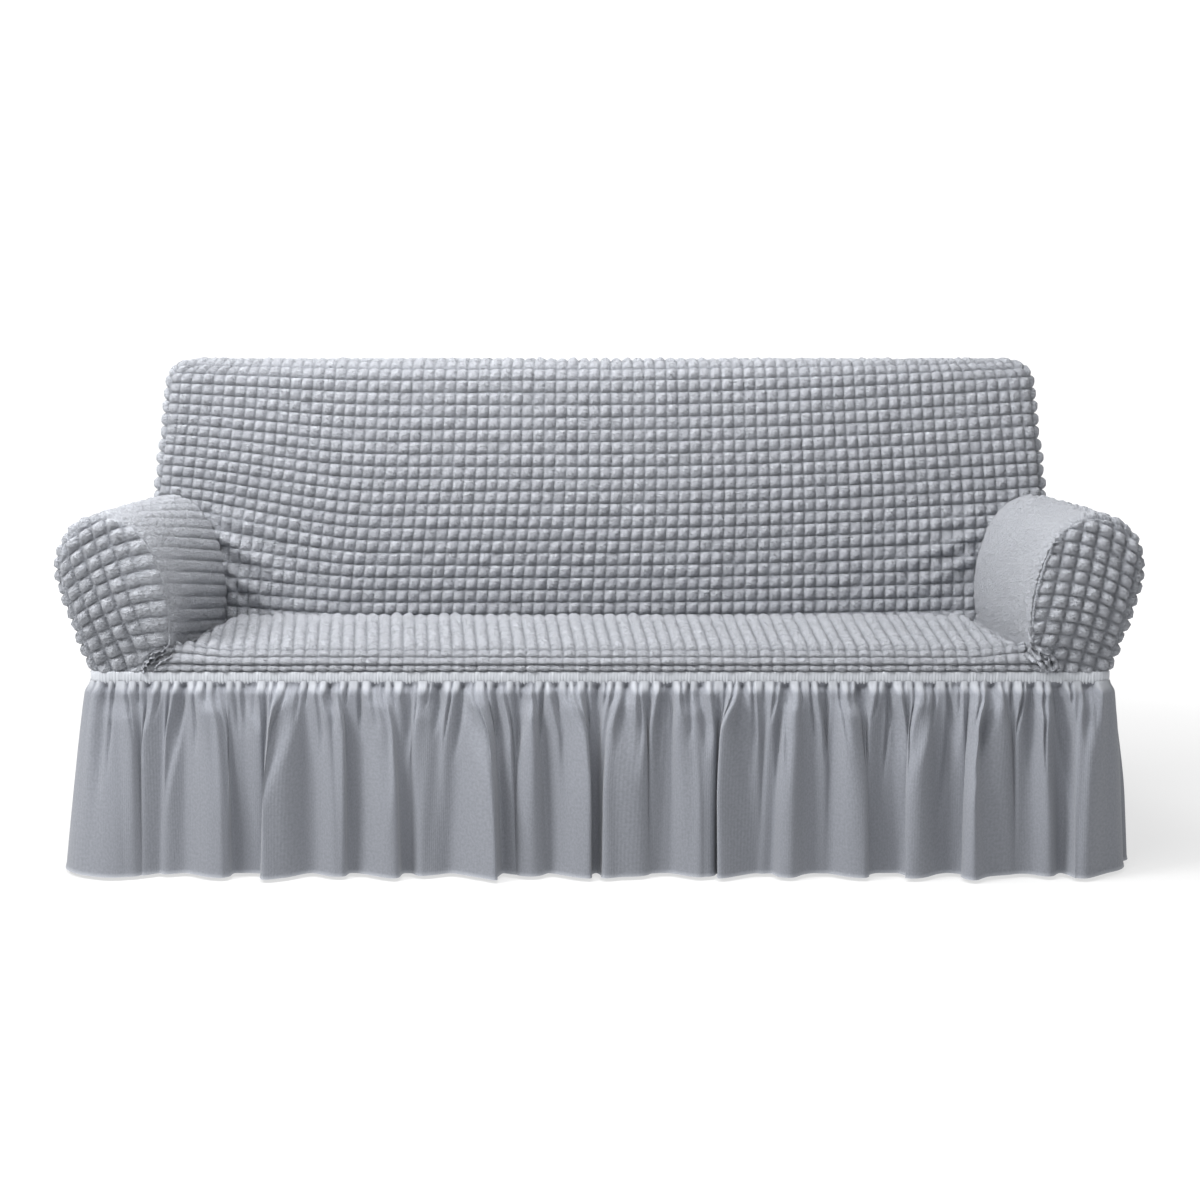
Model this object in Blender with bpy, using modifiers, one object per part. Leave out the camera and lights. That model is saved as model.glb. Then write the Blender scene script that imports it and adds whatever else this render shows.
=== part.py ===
"""A three-seat sofa slipcover of bubble cloth with a gathered skirt, in the shape that it keeps in use.

Metres. +X is to the right of someone who faces the cover, +Y goes from its front to its back, and +Z
is up. The origin is on the floor, under the middle of the cover. Each cut piece is a thin shell of
cloth, open to the hollow inside, and seams are narrow gaps between the pieces.
"""

import math
import random

import bmesh
import bpy
from mathutils import Vector

# ---------------------------------------------------------------- driving dimensions

BUBBLE_CLOTH = 0.0022  # thickness of the stretched bubble cloth, without its bubbles
SKIRT_CLOTH = 0.0016  # thickness of the plain ribbed cloth of the skirt
BAND_CLOTH = 0.0030  # thickness of the shirred elastic band
SEAM = 0.0015  # width of the gap that stands for a seam
CLEAR = 0.0006  # how far cloth stays from a piece that it only meets
CUTTER_FOOT = 0.300  # where the spaces that trim the pieces start, well below their ends
CUTTER_STEPS = 60  # straight stretches of the arm's space along its outline
CUTTER_BEND = 6  # and round its rear edge

BASE_HALF = 0.967  # half of the cover's width at the waistband
FRONT_Y = -0.420  # the cover's front at the waistband
REAR_Y = 0.420  # the cover's rear at the waistband
BASE_CORNER = 0.030  # radius of the base's corners, seen from above

BAND_FOOT = 0.3664
BAND_HEIGHT = 0.0192
BAND_PROUD = 0.0020  # how far the band stands out from the cloth above it
BAND_STEP = 0.160  # straight stretches of the band between its corners
COVER_FOOT = 0.3860  # where the bubble cloth ends above the band

SEAT_Z = 0.430  # top of the seat
SEAT_HALF = 0.806  # half of the seat's width between the arms
SEAT_ROLL = 0.030  # radius of the seat's front edge
SEAT_BEND = 0.012  # radius of the seat's turn down into the crease behind it
SEAT_REAR_TUCK = 0.026  # how deep the seat is pushed into that crease
SEAT_SIDE_TUCK = 0.014  # how deep its sides dip beside the arms
SEAT_SIDE_DIP = 0.035  # how wide that dip is
SEAT_MOUTH_HALF = 0.826  # half of the seat piece's width just past its front edge
SEAT_FOOT_HALF = 0.866  # half of its width where it meets the band
SEAT_WIDENING = 0.009  # how far behind the cover's front it starts to widen
SEAT_CORNER_LIFT = 0.013  # how far bunched cloth lifts the seat's front corners
SEAT_CORNER_X = 0.700  # where the bunched cloth starts
SEAT_CORNER_RUN = 0.110  # how far sideways it grows to its full height
SEAT_CORNER_DEPTH = 0.100  # how far back it can be seen
SEAT_COLUMNS = 26

ARM_EDGE = 0.028  # radius of the rounding at the front and rear of each arm
ARM_CROWN = 0.020  # how far each arm's front is puffed out
ARM_CROWN_FLATNESS = 0.7  # under 1 spreads the puff towards the sides
ARM_CROWN_FOOT = 0.45  # share of the front's height over which the puff grows from its foot
ARM_CROWN_TOP = 0.50  # and from its top
ARM_MIDDLE = (0.910, 0.0, 0.520)  # a point inside the right arm
ARM_ROWS = 12  # straight stretches from the front to the rear of a sleeve
ARM_STEPS = 24  # straight stretches that an arm's outline is cut into
ARM_INNER_STEP = 2  # the step at which an arm's front leaves the seat and follows the outline
ARM_CREST_STEP = 9  # the step at which it starts over the top

BACK_HALF = 0.965
BACK_TOP = 0.974
BACK_LEAN = 0.17  # run over rise of the inside back
BACK_FACE_Y = 0.075  # the inside back at the height of the seat
BACK_CROWN = 0.012  # how far the middle of the inside back is puffed out
BACK_CROWN_Z = 0.700  # the height of the most puffed place
BACK_CROWN_REACH = 0.290  # how far above and below it the puff ends
BACK_CORNER = 0.045  # radius of the back's two top corners
CORNER_ANGLES = (0.0, 22.5, 45.0, 67.5, 90.0)  # where the pieces round a top corner have points
BACK_EDGE = 0.045  # radius of the rounding round the inside back
REAR_LEAN = 0.045  # run over rise of the outside back
REAR_EDGE = 0.028  # radius of the rounding round the outside back
EDGE_ANGLES = (45.0, 22.0, 0.0)  # a side strip's rows round its edges, from its seam inwards
INSIDE_BACK_ROWS = (0.404, 0.46, 0.53, 0.60, 0.67, 0.74, 0.81, 0.87)  # heights below its top corners
OUTSIDE_BACK_ROWS = (0.730, 0.800, 0.870)  # heights between the arms and its top corners
GUSSET_ROWS = (0.640, 0.710, 0.780, 0.860)  # heights of the side strips below the top corners
BACK_MIDDLE = (0.0, 0.270, 0.600)  # a point inside the back
BACK_COLUMNS = 26
REAR_COLUMNS = 16

SKIRT_DROP = 0.3590  # length of the skirt below the band
SKIRT_BELOW_BAND = 0.0004  # the gap between the band and the skirt
SKIRT_FOOT = BAND_FOOT - SKIRT_BELOW_BAND - SKIRT_DROP
SKIRT_CORNER_GAP = 0.0015  # the gap between two runs of the skirt
SKIRT_ROWS = 6
SKIRT_FLARE = 0.030  # how far the skirt's valleys swing out at the hem
SKIRT_SWING = 0.8  # under 1 makes them swing out sooner
FOLD_NECK = 0.75  # a fold's width at the band, as a share of its width at the hem
FOLD_RISE = 0.75  # share of the drop over which a fold grows to its full depth
FOLD_DELAY = 0.80  # how much later a fold of short reach starts

# ---------------------------------------------------------------- short tables

# The right arm seen from the front: its outline from the seat crease over the top to the band.
ARM_OUTLINE = [
    # x, z
    (0.812, 0.404),
    (0.806, 0.470),
    (0.809, 0.529),
    (0.821, 0.580),
    (0.839, 0.623),
    (0.864, 0.655),
    (0.892, 0.676),
    (0.925, 0.684),
    (0.960, 0.677),
    (0.992, 0.658),
    (1.016, 0.626),
    (1.026, 0.590),
    (1.020, 0.540),
    (1.004, 0.488),
    (0.984, 0.432),
    (0.967, 0.386),
]

# The edge of each arm's front beside the seat's front corner, from the band up.
ARM_FRONT_CORNER = [
    # x, z
    (0.868, 0.386),
    (0.8585, 0.4065),
    (0.842, 0.424),
    (0.8178, 0.437),
]

# The space inside the back: between the arms it stays inside them, and above them it fills the back.
BACK_SPACE = [
    # z, half_width
    (CUTTER_FOOT, BACK_HALF - 0.05),
    (0.520, BACK_HALF - 0.05),
    (0.600, BACK_HALF + CLEAR),
    (BACK_TOP + BACK_CORNER, BACK_HALF + CLEAR),
]

# The skirt's main folds along its front, left to right: where each crest meets the hem, half of the
# fold's width there, how far it stands out, and how far up the skirt it can be followed.
FRONT_FOLDS = [
    # x, half_width, depth, reach
    (-0.905, 0.075, 0.016, 0.55),
    (-0.735, 0.050, 0.030, 0.80),
    (-0.596, 0.052, 0.034, 1.00),
    (-0.507, 0.040, 0.022, 0.70),
    (-0.415, 0.050, 0.032, 0.95),
    (-0.323, 0.038, 0.018, 0.60),
    (-0.232, 0.056, 0.034, 1.00),
    (-0.136, 0.036, 0.018, 0.65),
    (-0.052, 0.048, 0.030, 0.90),
    (0.044, 0.050, 0.032, 1.00),
    (0.172, 0.044, 0.026, 0.75),
    (0.256, 0.040, 0.032, 0.95),
    (0.362, 0.046, 0.026, 0.85),
    (0.472, 0.050, 0.030, 0.70),
    (0.608, 0.048, 0.032, 1.00),
    (0.726, 0.058, 0.036, 0.90),
    (0.833, 0.040, 0.020, 0.60),
    (0.915, 0.046, 0.030, 0.95),
]

SIDE_FOLD_PITCH = 0.105  # usual distance between the folds of the sides and the rear
SIDE_FOLD_SPREAD = 0.25  # how uneven that distance is
SIDE_FOLD_HALF_WIDTH = 0.050
SIDE_FOLD_DEPTHS = (0.020, 0.034)  # the shallowest and the deepest
SIDE_FOLD_REACHES = (0.60, 1.00)
SIDE_FOLD_SEED = 11

# The four runs of the skirt, in their order round the base.
SKIRT_RUNS = [
    # name, columns
    ("skirt_front", 108),
    ("skirt_right", 44),
    ("skirt_back", 100),
    ("skirt_left", 44),
]


# ---------------------------------------------------------------- curves


def lerp(a, b, t):
    return a + (b - a) * t


def smooth_curve(knots, steps=12):
    """Points of a Catmull-Rom curve through the knots."""
    ends = [[2 * a - b for a, b in zip(knots[0], knots[1])]]
    tail = [[2 * a - b for a, b in zip(knots[-1], knots[-2])]]
    padded = [Vector(knot) for knot in ends + list(knots) + tail]
    points = []
    for p0, p1, p2, p3 in zip(padded, padded[1:], padded[2:], padded[3:]):
        for step in range(steps):
            t = step / steps
            points.append(
                0.5
                * (
                    2 * p1
                    + (p2 - p0) * t
                    + (2 * p0 - 5 * p1 + 4 * p2 - p3) * t**2
                    + (3 * p1 - p0 - 3 * p2 + p3) * t**3
                )
            )
    points.append(padded[-2])
    return points


class Path:
    """A plane curve that is read by the share of its length, over and over if it is closed."""

    def __init__(self, points, closed=False):
        self.points = [Vector(point) for point in points]
        self.closed = closed
        self.reach = [0.0]
        for a, b in zip(self.points, self.points[1:]):
            self.reach.append(self.reach[-1] + (b - a).length)
        self.length = self.reach[-1]

    def at(self, share):
        share = share % 1.0 if self.closed else min(max(share, 0.0), 1.0)
        target = share * self.length
        index = 0
        while index < len(self.points) - 2 and self.reach[index + 1] < target:
            index += 1
        span = self.reach[index + 1] - self.reach[index]
        return self.points[index].lerp(self.points[index + 1], (target - self.reach[index]) / span)

    def outward(self, share):
        """The unit vector to the left of the way along the path."""
        step = 0.004
        along = self.at(share + step) - self.at(share - step)
        return Vector((-along.y, along.x)).normalized()

    def distance(self, point):
        point = Vector(point)
        nearest = math.inf
        for a, b in zip(self.points, self.points[1:]):
            side = b - a
            share = min(max((point - a).dot(side) / side.length_squared, 0.0), 1.0)
            nearest = min(nearest, (point - a - side * share).length)
        return nearest


def arc(centre, radius, start, end, steps):
    """Points of an arc between two angles in degrees."""
    points = []
    for step in range(steps + 1):
        angle = math.radians(lerp(start, end, step / steps))
        points.append((centre[0] + radius * math.cos(angle), centre[1] + radius * math.sin(angle)))
    return points


def edge_drop(depth, radius):
    """How far a rounded edge has fallen away at this depth in from its outline."""
    if depth >= radius:
        return 0.0
    return radius - math.sqrt(radius**2 - (radius - depth) ** 2)


def seam_inset(radius):
    """How far in from the outline a seam lies that runs along the middle of a rounded edge."""
    return radius * (1 - math.sqrt(0.5))


def gentle(t):
    t = min(max(t, 0.0), 1.0)
    return t * t * (3 - 2 * t)


def crowded(t):
    """Moves evenly spread shares towards both ends, where the edges are rounded."""
    return lerp(t, 0.5 - 0.5 * math.cos(math.pi * t), 0.75)


def edged(points, share):
    """The points with one more close to each end, which keeps a rounded edge's slope at its seam."""
    first = points[0] + (points[1] - points[0]) * share
    last = points[-1] + (points[-2] - points[-1]) * share
    return [points[0], first, *points[1:-1], last, points[-1]]


def patch_point(bottom, top, left, right, column, row, u):
    """A point of the smooth patch between four rows of points, with u as the column's share of the width."""
    v = row / (len(left) - 1)
    across = bottom[column].lerp(top[column], v)
    upward = left[row].lerp(right[row], u)
    low = bottom[0].lerp(bottom[-1], u)
    high = top[0].lerp(top[-1], u)
    return across + upward - low.lerp(high, v)


# ---------------------------------------------------------------- lines that the pieces share

ARM = Path(smooth_curve(ARM_OUTLINE))

BACK_CORNER_MIDDLE = Vector((BACK_HALF - BACK_CORNER, BACK_TOP - BACK_CORNER))

BACK_ARCH = Path(
    [(BACK_HALF, CUTTER_FOOT)]
    + arc(BACK_CORNER_MIDDLE, BACK_CORNER, 0, 90, 8)
    + arc((-BACK_CORNER_MIDDLE.x, BACK_CORNER_MIDDLE.y), BACK_CORNER, 90, 180, 8)
    + [(-BACK_HALF, CUTTER_FOOT)]
)


def arm_middle(side):
    return (side * ARM_MIDDLE[0], ARM_MIDDLE[1], ARM_MIDDLE[2])


def face_y(z):
    """The flat of the inside back at this height."""
    return BACK_FACE_Y + (z - SEAT_Z) * BACK_LEAN


def rear_y(z):
    """The flat of the outside back at this height."""
    return REAR_Y + (z - COVER_FOOT) * REAR_LEAN


# ---------------------------------------------------------------- making pieces


def clear_scene():
    for obj in list(bpy.data.objects):
        bpy.data.objects.remove(obj)
    for mesh in list(bpy.data.meshes):
        bpy.data.meshes.remove(mesh)


def make_collection(name):
    collection = bpy.data.collections.new(name)
    bpy.context.scene.collection.children.link(collection)
    return collection


def cloth_material(name, colour, roughness):
    material = bpy.data.materials.new(name)
    material.use_nodes = True
    shader = material.node_tree.nodes["Principled BSDF"]
    shader.inputs["Base Color"].default_value = (*colour, 1.0)
    shader.inputs["Roughness"].default_value = roughness
    shader.inputs["Metallic"].default_value = 0.0
    return material


def shaped_grid(name, collection, columns, rows, place, inside):
    """A grid whose points, at u and v from 0 to 1, go to place(u, v), facing away from inside."""
    bm = bmesh.new()
    bmesh.ops.create_grid(bm, x_segments=columns, y_segments=rows, size=0.5)
    for vert in bm.verts:
        vert.co = place(vert.co.x + 0.5, vert.co.y + 0.5)
    bm.normal_update()
    facing = sum(face.normal.dot(face.calc_center_median() - Vector(inside)) for face in bm.faces)
    if facing < 0:
        bmesh.ops.reverse_faces(bm, faces=bm.faces)
    mesh = bpy.data.meshes.new(name)
    bm.to_mesh(mesh)
    bm.free()
    obj = bpy.data.objects.new(name, mesh)
    collection.objects.link(obj)
    return obj


def finish_cloth(obj, thickness, material, cutters=()):
    """Gives a sheet its thickness, inwards, and trims it where it meets its neighbours."""
    wall = obj.modifiers.new("cloth thickness", "SOLIDIFY")
    wall.thickness = thickness
    wall.offset = -1.0
    for cutter in cutters:
        trim = obj.modifiers.new("trim at " + cutter.name, "BOOLEAN")
        trim.operation = "DIFFERENCE"
        trim.object = cutter
    obj.data.materials.append(material)
    obj.data.shade_smooth()
    return obj


def make_cutter(name, collection, columns, rows, place, inside):
    """A closed solid: a grid rolled up so that its two side edges meet, with both its ends filled."""
    obj = shaped_grid(name, collection, columns, rows, place, inside)
    bm = bmesh.new()
    bm.from_mesh(obj.data)
    bmesh.ops.remove_doubles(bm, verts=bm.verts, dist=0.00001)
    bmesh.ops.holes_fill(bm, edges=[edge for edge in bm.edges if edge.is_boundary])
    bmesh.ops.recalc_face_normals(bm, faces=bm.faces)
    bm.to_mesh(obj.data)
    bm.free()
    obj.hide_render = True
    obj.display_type = "WIRE"
    return obj


def arm_cutter(name, collection, side):
    """The space that an arm and its sleeve take, a little grown, rounded at its rear."""
    first, last = ARM.at(0.0), ARM.at(1.0)
    below = [Vector((last.x, CUTTER_FOOT)), Vector((first.x, CUTTER_FOOT))]
    turns = [math.radians(90 * n / CUTTER_BEND) for n in range(CUTTER_BEND + 1)]
    columns, rows = CUTTER_STEPS + 3, CUTTER_BEND + 1

    def place(u, v):
        column, row = round(u * columns), round(v * rows)
        turn = turns[max(row - 1, 0)]
        inset = ARM_EDGE * (1 - math.cos(turn)) - CLEAR
        if CUTTER_STEPS < column < columns:
            point = below[column - CUTTER_STEPS - 1]
        else:
            share = (column % columns) / CUTTER_STEPS
            point = ARM.at(share) - ARM.outward(share) * inset
        y = rear_y(point.y) - ARM_EDGE * (1 - math.sin(turn)) + CLEAR
        return Vector((side * point.x, y if row else FRONT_Y - ARM_EDGE, point.y))

    return make_cutter(name, collection, columns, rows, place, arm_middle(side))


def back_cutter(name, collection):
    """The space that the back takes, a little grown, with rounded upright edges."""
    near = arc((-BACK_EDGE, BACK_EDGE), BACK_EDGE, 0, -90, CUTTER_BEND)
    far = arc((-REAR_EDGE, -REAR_EDGE), REAR_EDGE, 90, 0, CUTTER_BEND)
    line = [(1, x, y, face_y) for x, y in near] + [(-1, x, y, face_y) for x, y in near[::-1]]
    line += [(-1, x, y, rear_y) for x, y in far[::-1]] + [(1, x, y, rear_y) for x, y in far]
    line.append(line[0])
    columns, rows = len(line) - 1, len(BACK_SPACE) - 1

    def place(u, v):
        side, in_x, in_y, flat_y = line[round(u * columns)]
        z, half = BACK_SPACE[round(v * rows)]
        grown = CLEAR if flat_y is rear_y else -CLEAR
        return Vector((side * (half + in_x), flat_y(z) + grown + in_y, z))

    return make_cutter(name, collection, columns, rows, place, BACK_MIDDLE)


# ---------------------------------------------------------------- the arms


def arm_point(share, inset):
    """A point of the arm's outline moved in, whose end comes down to the foot of the bubble cloth."""
    point = ARM.at(share) - ARM.outward(share) * inset
    if share > 0.999:
        along = ARM.at(1.0) - ARM.at(0.99)
        point = point + along * ((COVER_FOOT - point.y) / along.y)
    return point


def arm_rim(inset):
    """The points of the arm's outline where its panels meet, moved in from the outline."""
    return [arm_point(n / ARM_STEPS, inset) for n in range(ARM_STEPS + 1)]


def arm_sleeve(collection, material, name, side, cutters):
    """The inner face, top and outer face of an arm: one piece from its front seam to its rear seam."""
    seam = seam_inset(ARM_EDGE) + SEAM / 2

    def place(u, v):
        end = rear_y(ARM.at(u).y)
        y = lerp(FRONT_Y + seam, end - seam, crowded(v))
        point = arm_point(u, edge_drop(min(y - FRONT_Y, end - y), ARM_EDGE))
        return Vector((side * point.x, y, point.y))

    obj = shaped_grid(name, collection, ARM_STEPS, ARM_ROWS, place, arm_middle(side))
    return finish_cloth(obj, BUBBLE_CLOTH, material, cutters)


def arm_front(collection, material, name, side):
    """The puffed panel sewn in the front of an arm."""
    rim = arm_rim(seam_inset(ARM_EDGE) + SEAM / 2)
    beside_seat = [Vector(point) for point in ARM_FRONT_CORNER]
    outer_foot = rim[-1]
    left = beside_seat + rim[ARM_INNER_STEP : ARM_CREST_STEP + 1]
    right = [outer_foot] + rim[-2 : -1 - len(left) : -1]
    close = 0.15
    top = edged(rim[ARM_CREST_STEP : len(rim) - len(left) + 1], close)
    left = left[:-1] + [left[-1].lerp(left[-2], close), left[-1]]
    right = right[:-1] + [right[-1].lerp(right[-2], close), right[-1]]
    rows, columns = len(left) - 1, len(top) - 1
    spread = edged([crowded(n / (columns - 2)) for n in range(columns - 1)], 2 * close)
    bottom = [left[0].lerp(outer_foot, share) for share in spread]

    def place(u, v):
        column, row = round(u * columns), round(v * rows)
        u = spread[column]
        point = patch_point(bottom, top, left, right, column, row, u)
        fall = edge_drop(ARM.distance(point), ARM_EDGE)
        swell = ARM_CROWN * (4 * u * (1 - u)) ** ARM_CROWN_FLATNESS
        swell *= gentle(v / ARM_CROWN_FOOT) * gentle((1 - v) / ARM_CROWN_TOP)
        return Vector((side * point.x, FRONT_Y + fall - swell, point.y))

    obj = shaped_grid(name, collection, columns, rows, place, arm_middle(side))
    return finish_cloth(obj, BUBBLE_CLOTH, material)


# ---------------------------------------------------------------- the seat


def seat_profile():
    """The seat's line from the crease behind it, over its front edge, down to the band, as y and z."""
    crease = face_y(SEAT_Z) - CLEAR - 0.004
    roll = FRONT_Y + SEAT_ROLL
    profile = [(crease, SEAT_Z - SEAT_REAR_TUCK), (crease, SEAT_Z - SEAT_BEND)]
    profile += arc((crease - SEAT_BEND, SEAT_Z - SEAT_BEND), SEAT_BEND, 30, 90, 2)
    profile += [(lerp(crease - SEAT_BEND, roll, n / 4), SEAT_Z) for n in (1, 2, 3)]
    profile += arc((roll, SEAT_Z - SEAT_ROLL), SEAT_ROLL, 90, 180, 5)
    profile += [(FRONT_Y, COVER_FOOT)]
    return profile


def seat(collection, material):
    """The deck, tucked down at its creases, and the short drop over the front edge."""
    profile = seat_profile()
    rows = len(profile) - 1

    def place(u, v):
        y, z = profile[round(v * rows)]
        lowered = gentle((SEAT_Z - z) / (SEAT_Z - COVER_FOOT))
        widened = gentle((FRONT_Y + SEAT_WIDENING - y) / SEAT_WIDENING)
        half = lerp(SEAT_HALF - CLEAR, lerp(SEAT_MOUTH_HALF, SEAT_FOOT_HALF, lowered), widened)
        x = half * (2 * crowded(u) - 1)
        on_deck = gentle((y - FRONT_Y - 0.02) / 0.06)
        dip = SEAT_SIDE_TUCK * on_deck * gentle(1 - (half - abs(x)) / SEAT_SIDE_DIP)
        beside = gentle((abs(x) - SEAT_CORNER_X) / SEAT_CORNER_RUN)
        in_front = gentle(1 - (y - FRONT_Y) / SEAT_CORNER_DEPTH)
        lift = SEAT_CORNER_LIFT * beside * in_front * gentle((z - COVER_FOOT) / SEAT_ROLL)
        return Vector((x, y, z - dip + lift))

    obj = shaped_grid("seat", collection, SEAT_COLUMNS, rows, place, (0.0, 0.0, 0.30))
    return finish_cloth(obj, BUBBLE_CLOTH, material)


# ---------------------------------------------------------------- the back


def back_crown(x, z):
    """How far the middle of the inside back is puffed out."""
    across = max(0.0, 1 - (x / BACK_HALF) ** 2)
    upward = max(0.0, 1 - ((z - BACK_CROWN_Z) / BACK_CROWN_REACH) ** 2)
    return BACK_CROWN * across * upward


def inside_back(collection, material, cutters):
    """The reclined face, rounded at its sides and top, and the top as far as the rear seam."""
    corner_z = BACK_TOP - BACK_CORNER
    corner_x = BACK_HALF - BACK_CORNER
    bend = BACK_CORNER - seam_inset(BACK_EDGE)
    rows = [(z, corner_x + bend - SEAM / 2) for z in INSIDE_BACK_ROWS]
    for angle in CORNER_ANGLES:
        turn = math.radians(angle)
        rows.append((corner_z + bend * math.sin(turn), corner_x + bend * math.cos(turn) - SEAM / 2))
    front = face_y(BACK_TOP)
    rear = rear_y(BACK_TOP)
    over = [(front + BACK_EDGE - BACK_EDGE * math.sin(math.radians(a))) for a in (25, 0)]
    over += [lerp(front + BACK_EDGE, rear - REAR_EDGE, share) for share in (0.5, 1.0)]
    over += [rear - REAR_EDGE + REAR_EDGE * math.sin(math.radians(a)) for a in (25, 44)]

    def place(u, v):
        across = 2 * crowded(u) - 1
        index = round(v * (len(rows) + len(over) - 1))
        if index < len(rows):
            z, half = rows[index]
            x = across * half
            fall = edge_drop(BACK_ARCH.distance((x, z)), BACK_EDGE)
            return Vector((x, face_y(z) + fall - back_crown(x, z), z))
        y = over[index - len(rows)]
        x = across * (corner_x - SEAM / 2)
        fall = edge_drop(y - front, BACK_EDGE) + edge_drop(rear - y, REAR_EDGE)
        return Vector((x, y, BACK_TOP - fall))

    count = len(rows) + len(over) - 1
    obj = shaped_grid("inside_back", collection, BACK_COLUMNS, count, place, BACK_MIDDLE)
    return finish_cloth(obj, BUBBLE_CLOTH, material, cutters)


def strip_rows(front, rear):
    """The y of a side strip's rows, from front seam to rear seam, and how far each has fallen away."""
    turns = [math.radians(angle) for angle in EDGE_ANGLES]
    near = [(front + BACK_EDGE * (1 - math.sin(turn)), BACK_EDGE * (1 - math.cos(turn))) for turn in turns]
    far = [(rear - REAR_EDGE * (1 - math.sin(turn)), REAR_EDGE * (1 - math.cos(turn))) for turn in turns]
    flat = [(lerp(near[-1][0], far[-1][0], share), 0.0) for share in (0.25, 0.50, 0.75)]
    near[0] = (near[0][0] + SEAM / 2, near[0][1])
    far[0] = (far[0][0] - SEAM / 2, far[0][1])
    return near + flat + far[::-1]


def back_gusset(collection, material, name, side, cutters):
    """The strip up one side of the back and round its top corner."""
    outward = Vector((1.0, 0.0))
    line = [(Vector((BACK_HALF, z)), outward) for z in GUSSET_ROWS]
    for angle in CORNER_ANGLES:
        turn = math.radians(angle)
        away = Vector((math.cos(turn), math.sin(turn)))
        line.append((BACK_CORNER_MIDDLE + away * BACK_CORNER, away))
    columns, rows = len(line) - 1, 2 * len(EDGE_ANGLES) + 2

    def place(u, v):
        column = round(u * columns)
        point, away = line[column]
        y, fall = strip_rows(face_y(point.y), rear_y(point.y))[round(v * rows)]
        point = point - away * fall
        if column == columns:
            point = point + outward * (SEAM / 2)
        return Vector((side * point.x, y, point.y))

    inside = (side * (BACK_HALF - BACK_EDGE), BACK_MIDDLE[1], BACK_CORNER_MIDDLE.y - BACK_EDGE)
    obj = shaped_grid(name, collection, columns, rows, place, inside)
    return finish_cloth(obj, BUBBLE_CLOTH, material, cutters)


def outside_back_edge(inset):
    """The right edge of the rear panel: up the arm, up the back and round its top corner."""
    rim = arm_rim(inset)
    side = BACK_HALF - inset
    bend = BACK_CORNER - inset
    beside_arm = [point for point in rim[::-1] if point.x > side]
    crest = rim[len(rim) - len(beside_arm) - 1]
    above = (beside_arm[-1].x - side) / (beside_arm[-1].x - crest.x)
    edge = [*beside_arm, beside_arm[-1].lerp(crest, above)]
    edge += [Vector((side, z)) for z in OUTSIDE_BACK_ROWS]
    for angle in CORNER_ANGLES:
        turn = math.radians(angle)
        edge.append(BACK_CORNER_MIDDLE + bend * Vector((math.cos(turn), math.sin(turn))))
    return edge


def outside_back(collection, material):
    """The rear panel, which also closes the rear of both arms."""
    inset = seam_inset(REAR_EDGE) + SEAM / 2
    *right, crest = outside_back_edge(inset)
    right.insert(-1, right[-1].lerp(right[-2], 0.3))
    left = [Vector((-point.x, point.y)) for point in right]
    rows, columns = len(right) - 1, REAR_COLUMNS
    spread = edged([crowded(n / (columns - 2)) for n in range(columns - 1)], 0.2)
    bottom = [left[0].lerp(right[0], share) for share in spread]
    top = [Vector((lerp(-crest.x, crest.x, share), crest.y)) for share in spread[2:-2]]
    top = [left[-1], Vector((-crest.x, crest.y)), *top, crest, right[-1]]
    edge = Path(right)

    def place(u, v):
        column, row = round(u * columns), round(v * rows)
        point = patch_point(bottom, top, left, right, column, row, spread[column])
        depth = min(edge.distance((abs(point.x), point.y)) + inset, BACK_TOP - point.y)
        fall = edge_drop(depth, REAR_EDGE)
        return Vector((point.x, rear_y(point.y) - fall, point.y))

    obj = shaped_grid("outside_back", collection, columns, rows, place, BACK_MIDDLE)
    return finish_cloth(obj, BUBBLE_CLOTH, material)


# ---------------------------------------------------------------- band and skirt


def base_loop(proud):
    """The base's line seen from above, anticlockwise from its front left corner, grown by proud."""
    half = BASE_HALF + proud
    front, rear = FRONT_Y - proud, REAR_Y + proud
    radius = BASE_CORNER + proud
    points = arc((-half + radius, front + radius), radius, 225, 270, 4)
    points += arc((half - radius, front + radius), radius, 270, 360, 8)
    points += arc((half - radius, rear - radius), radius, 0, 90, 8)
    points += arc((-half + radius, rear - radius), radius, 90, 180, 8)
    points += arc((-half + radius, front + radius), radius, 180, 225, 4)
    return Path(points, closed=True)


def waistband(collection, material):
    """The ring of shirred elastic between the bubble cloth and the skirt."""
    line = []
    for a, b in zip(base_loop(BAND_PROUD).points, base_loop(BAND_PROUD).points[1:]):
        pieces = max(1, round((b - a).length / BAND_STEP))
        line += [a.lerp(b, n / pieces) for n in range(pieces)]
    line.append(line[0])
    columns = len(line) - 1

    def place(u, v):
        point = line[round(u * columns)]
        return Vector((point.x, point.y, BAND_FOOT + BAND_HEIGHT * v))

    obj = shaped_grid("waistband", collection, columns, 1, place, (0.0, 0.0, BAND_FOOT))
    closing = obj.modifiers.new("close the ring", "WELD")
    closing.merge_threshold = 0.00005
    return finish_cloth(obj, BAND_CLOTH, material)


def scattered_folds(length, seed):
    """Rows like those of the front's table, unevenly spread over a run of skirt."""
    dice = random.Random(seed)
    rows = []
    reach = SIDE_FOLD_PITCH * 0.7
    while reach < length - SIDE_FOLD_PITCH * 0.4:
        spread = 1 + SIDE_FOLD_SPREAD * (2 * dice.random() - 1)
        depth = lerp(*SIDE_FOLD_DEPTHS, dice.random())
        rows.append((reach, SIDE_FOLD_HALF_WIDTH * spread, depth, lerp(*SIDE_FOLD_REACHES, dice.random())))
        reach += SIDE_FOLD_PITCH * spread
    return rows


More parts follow.
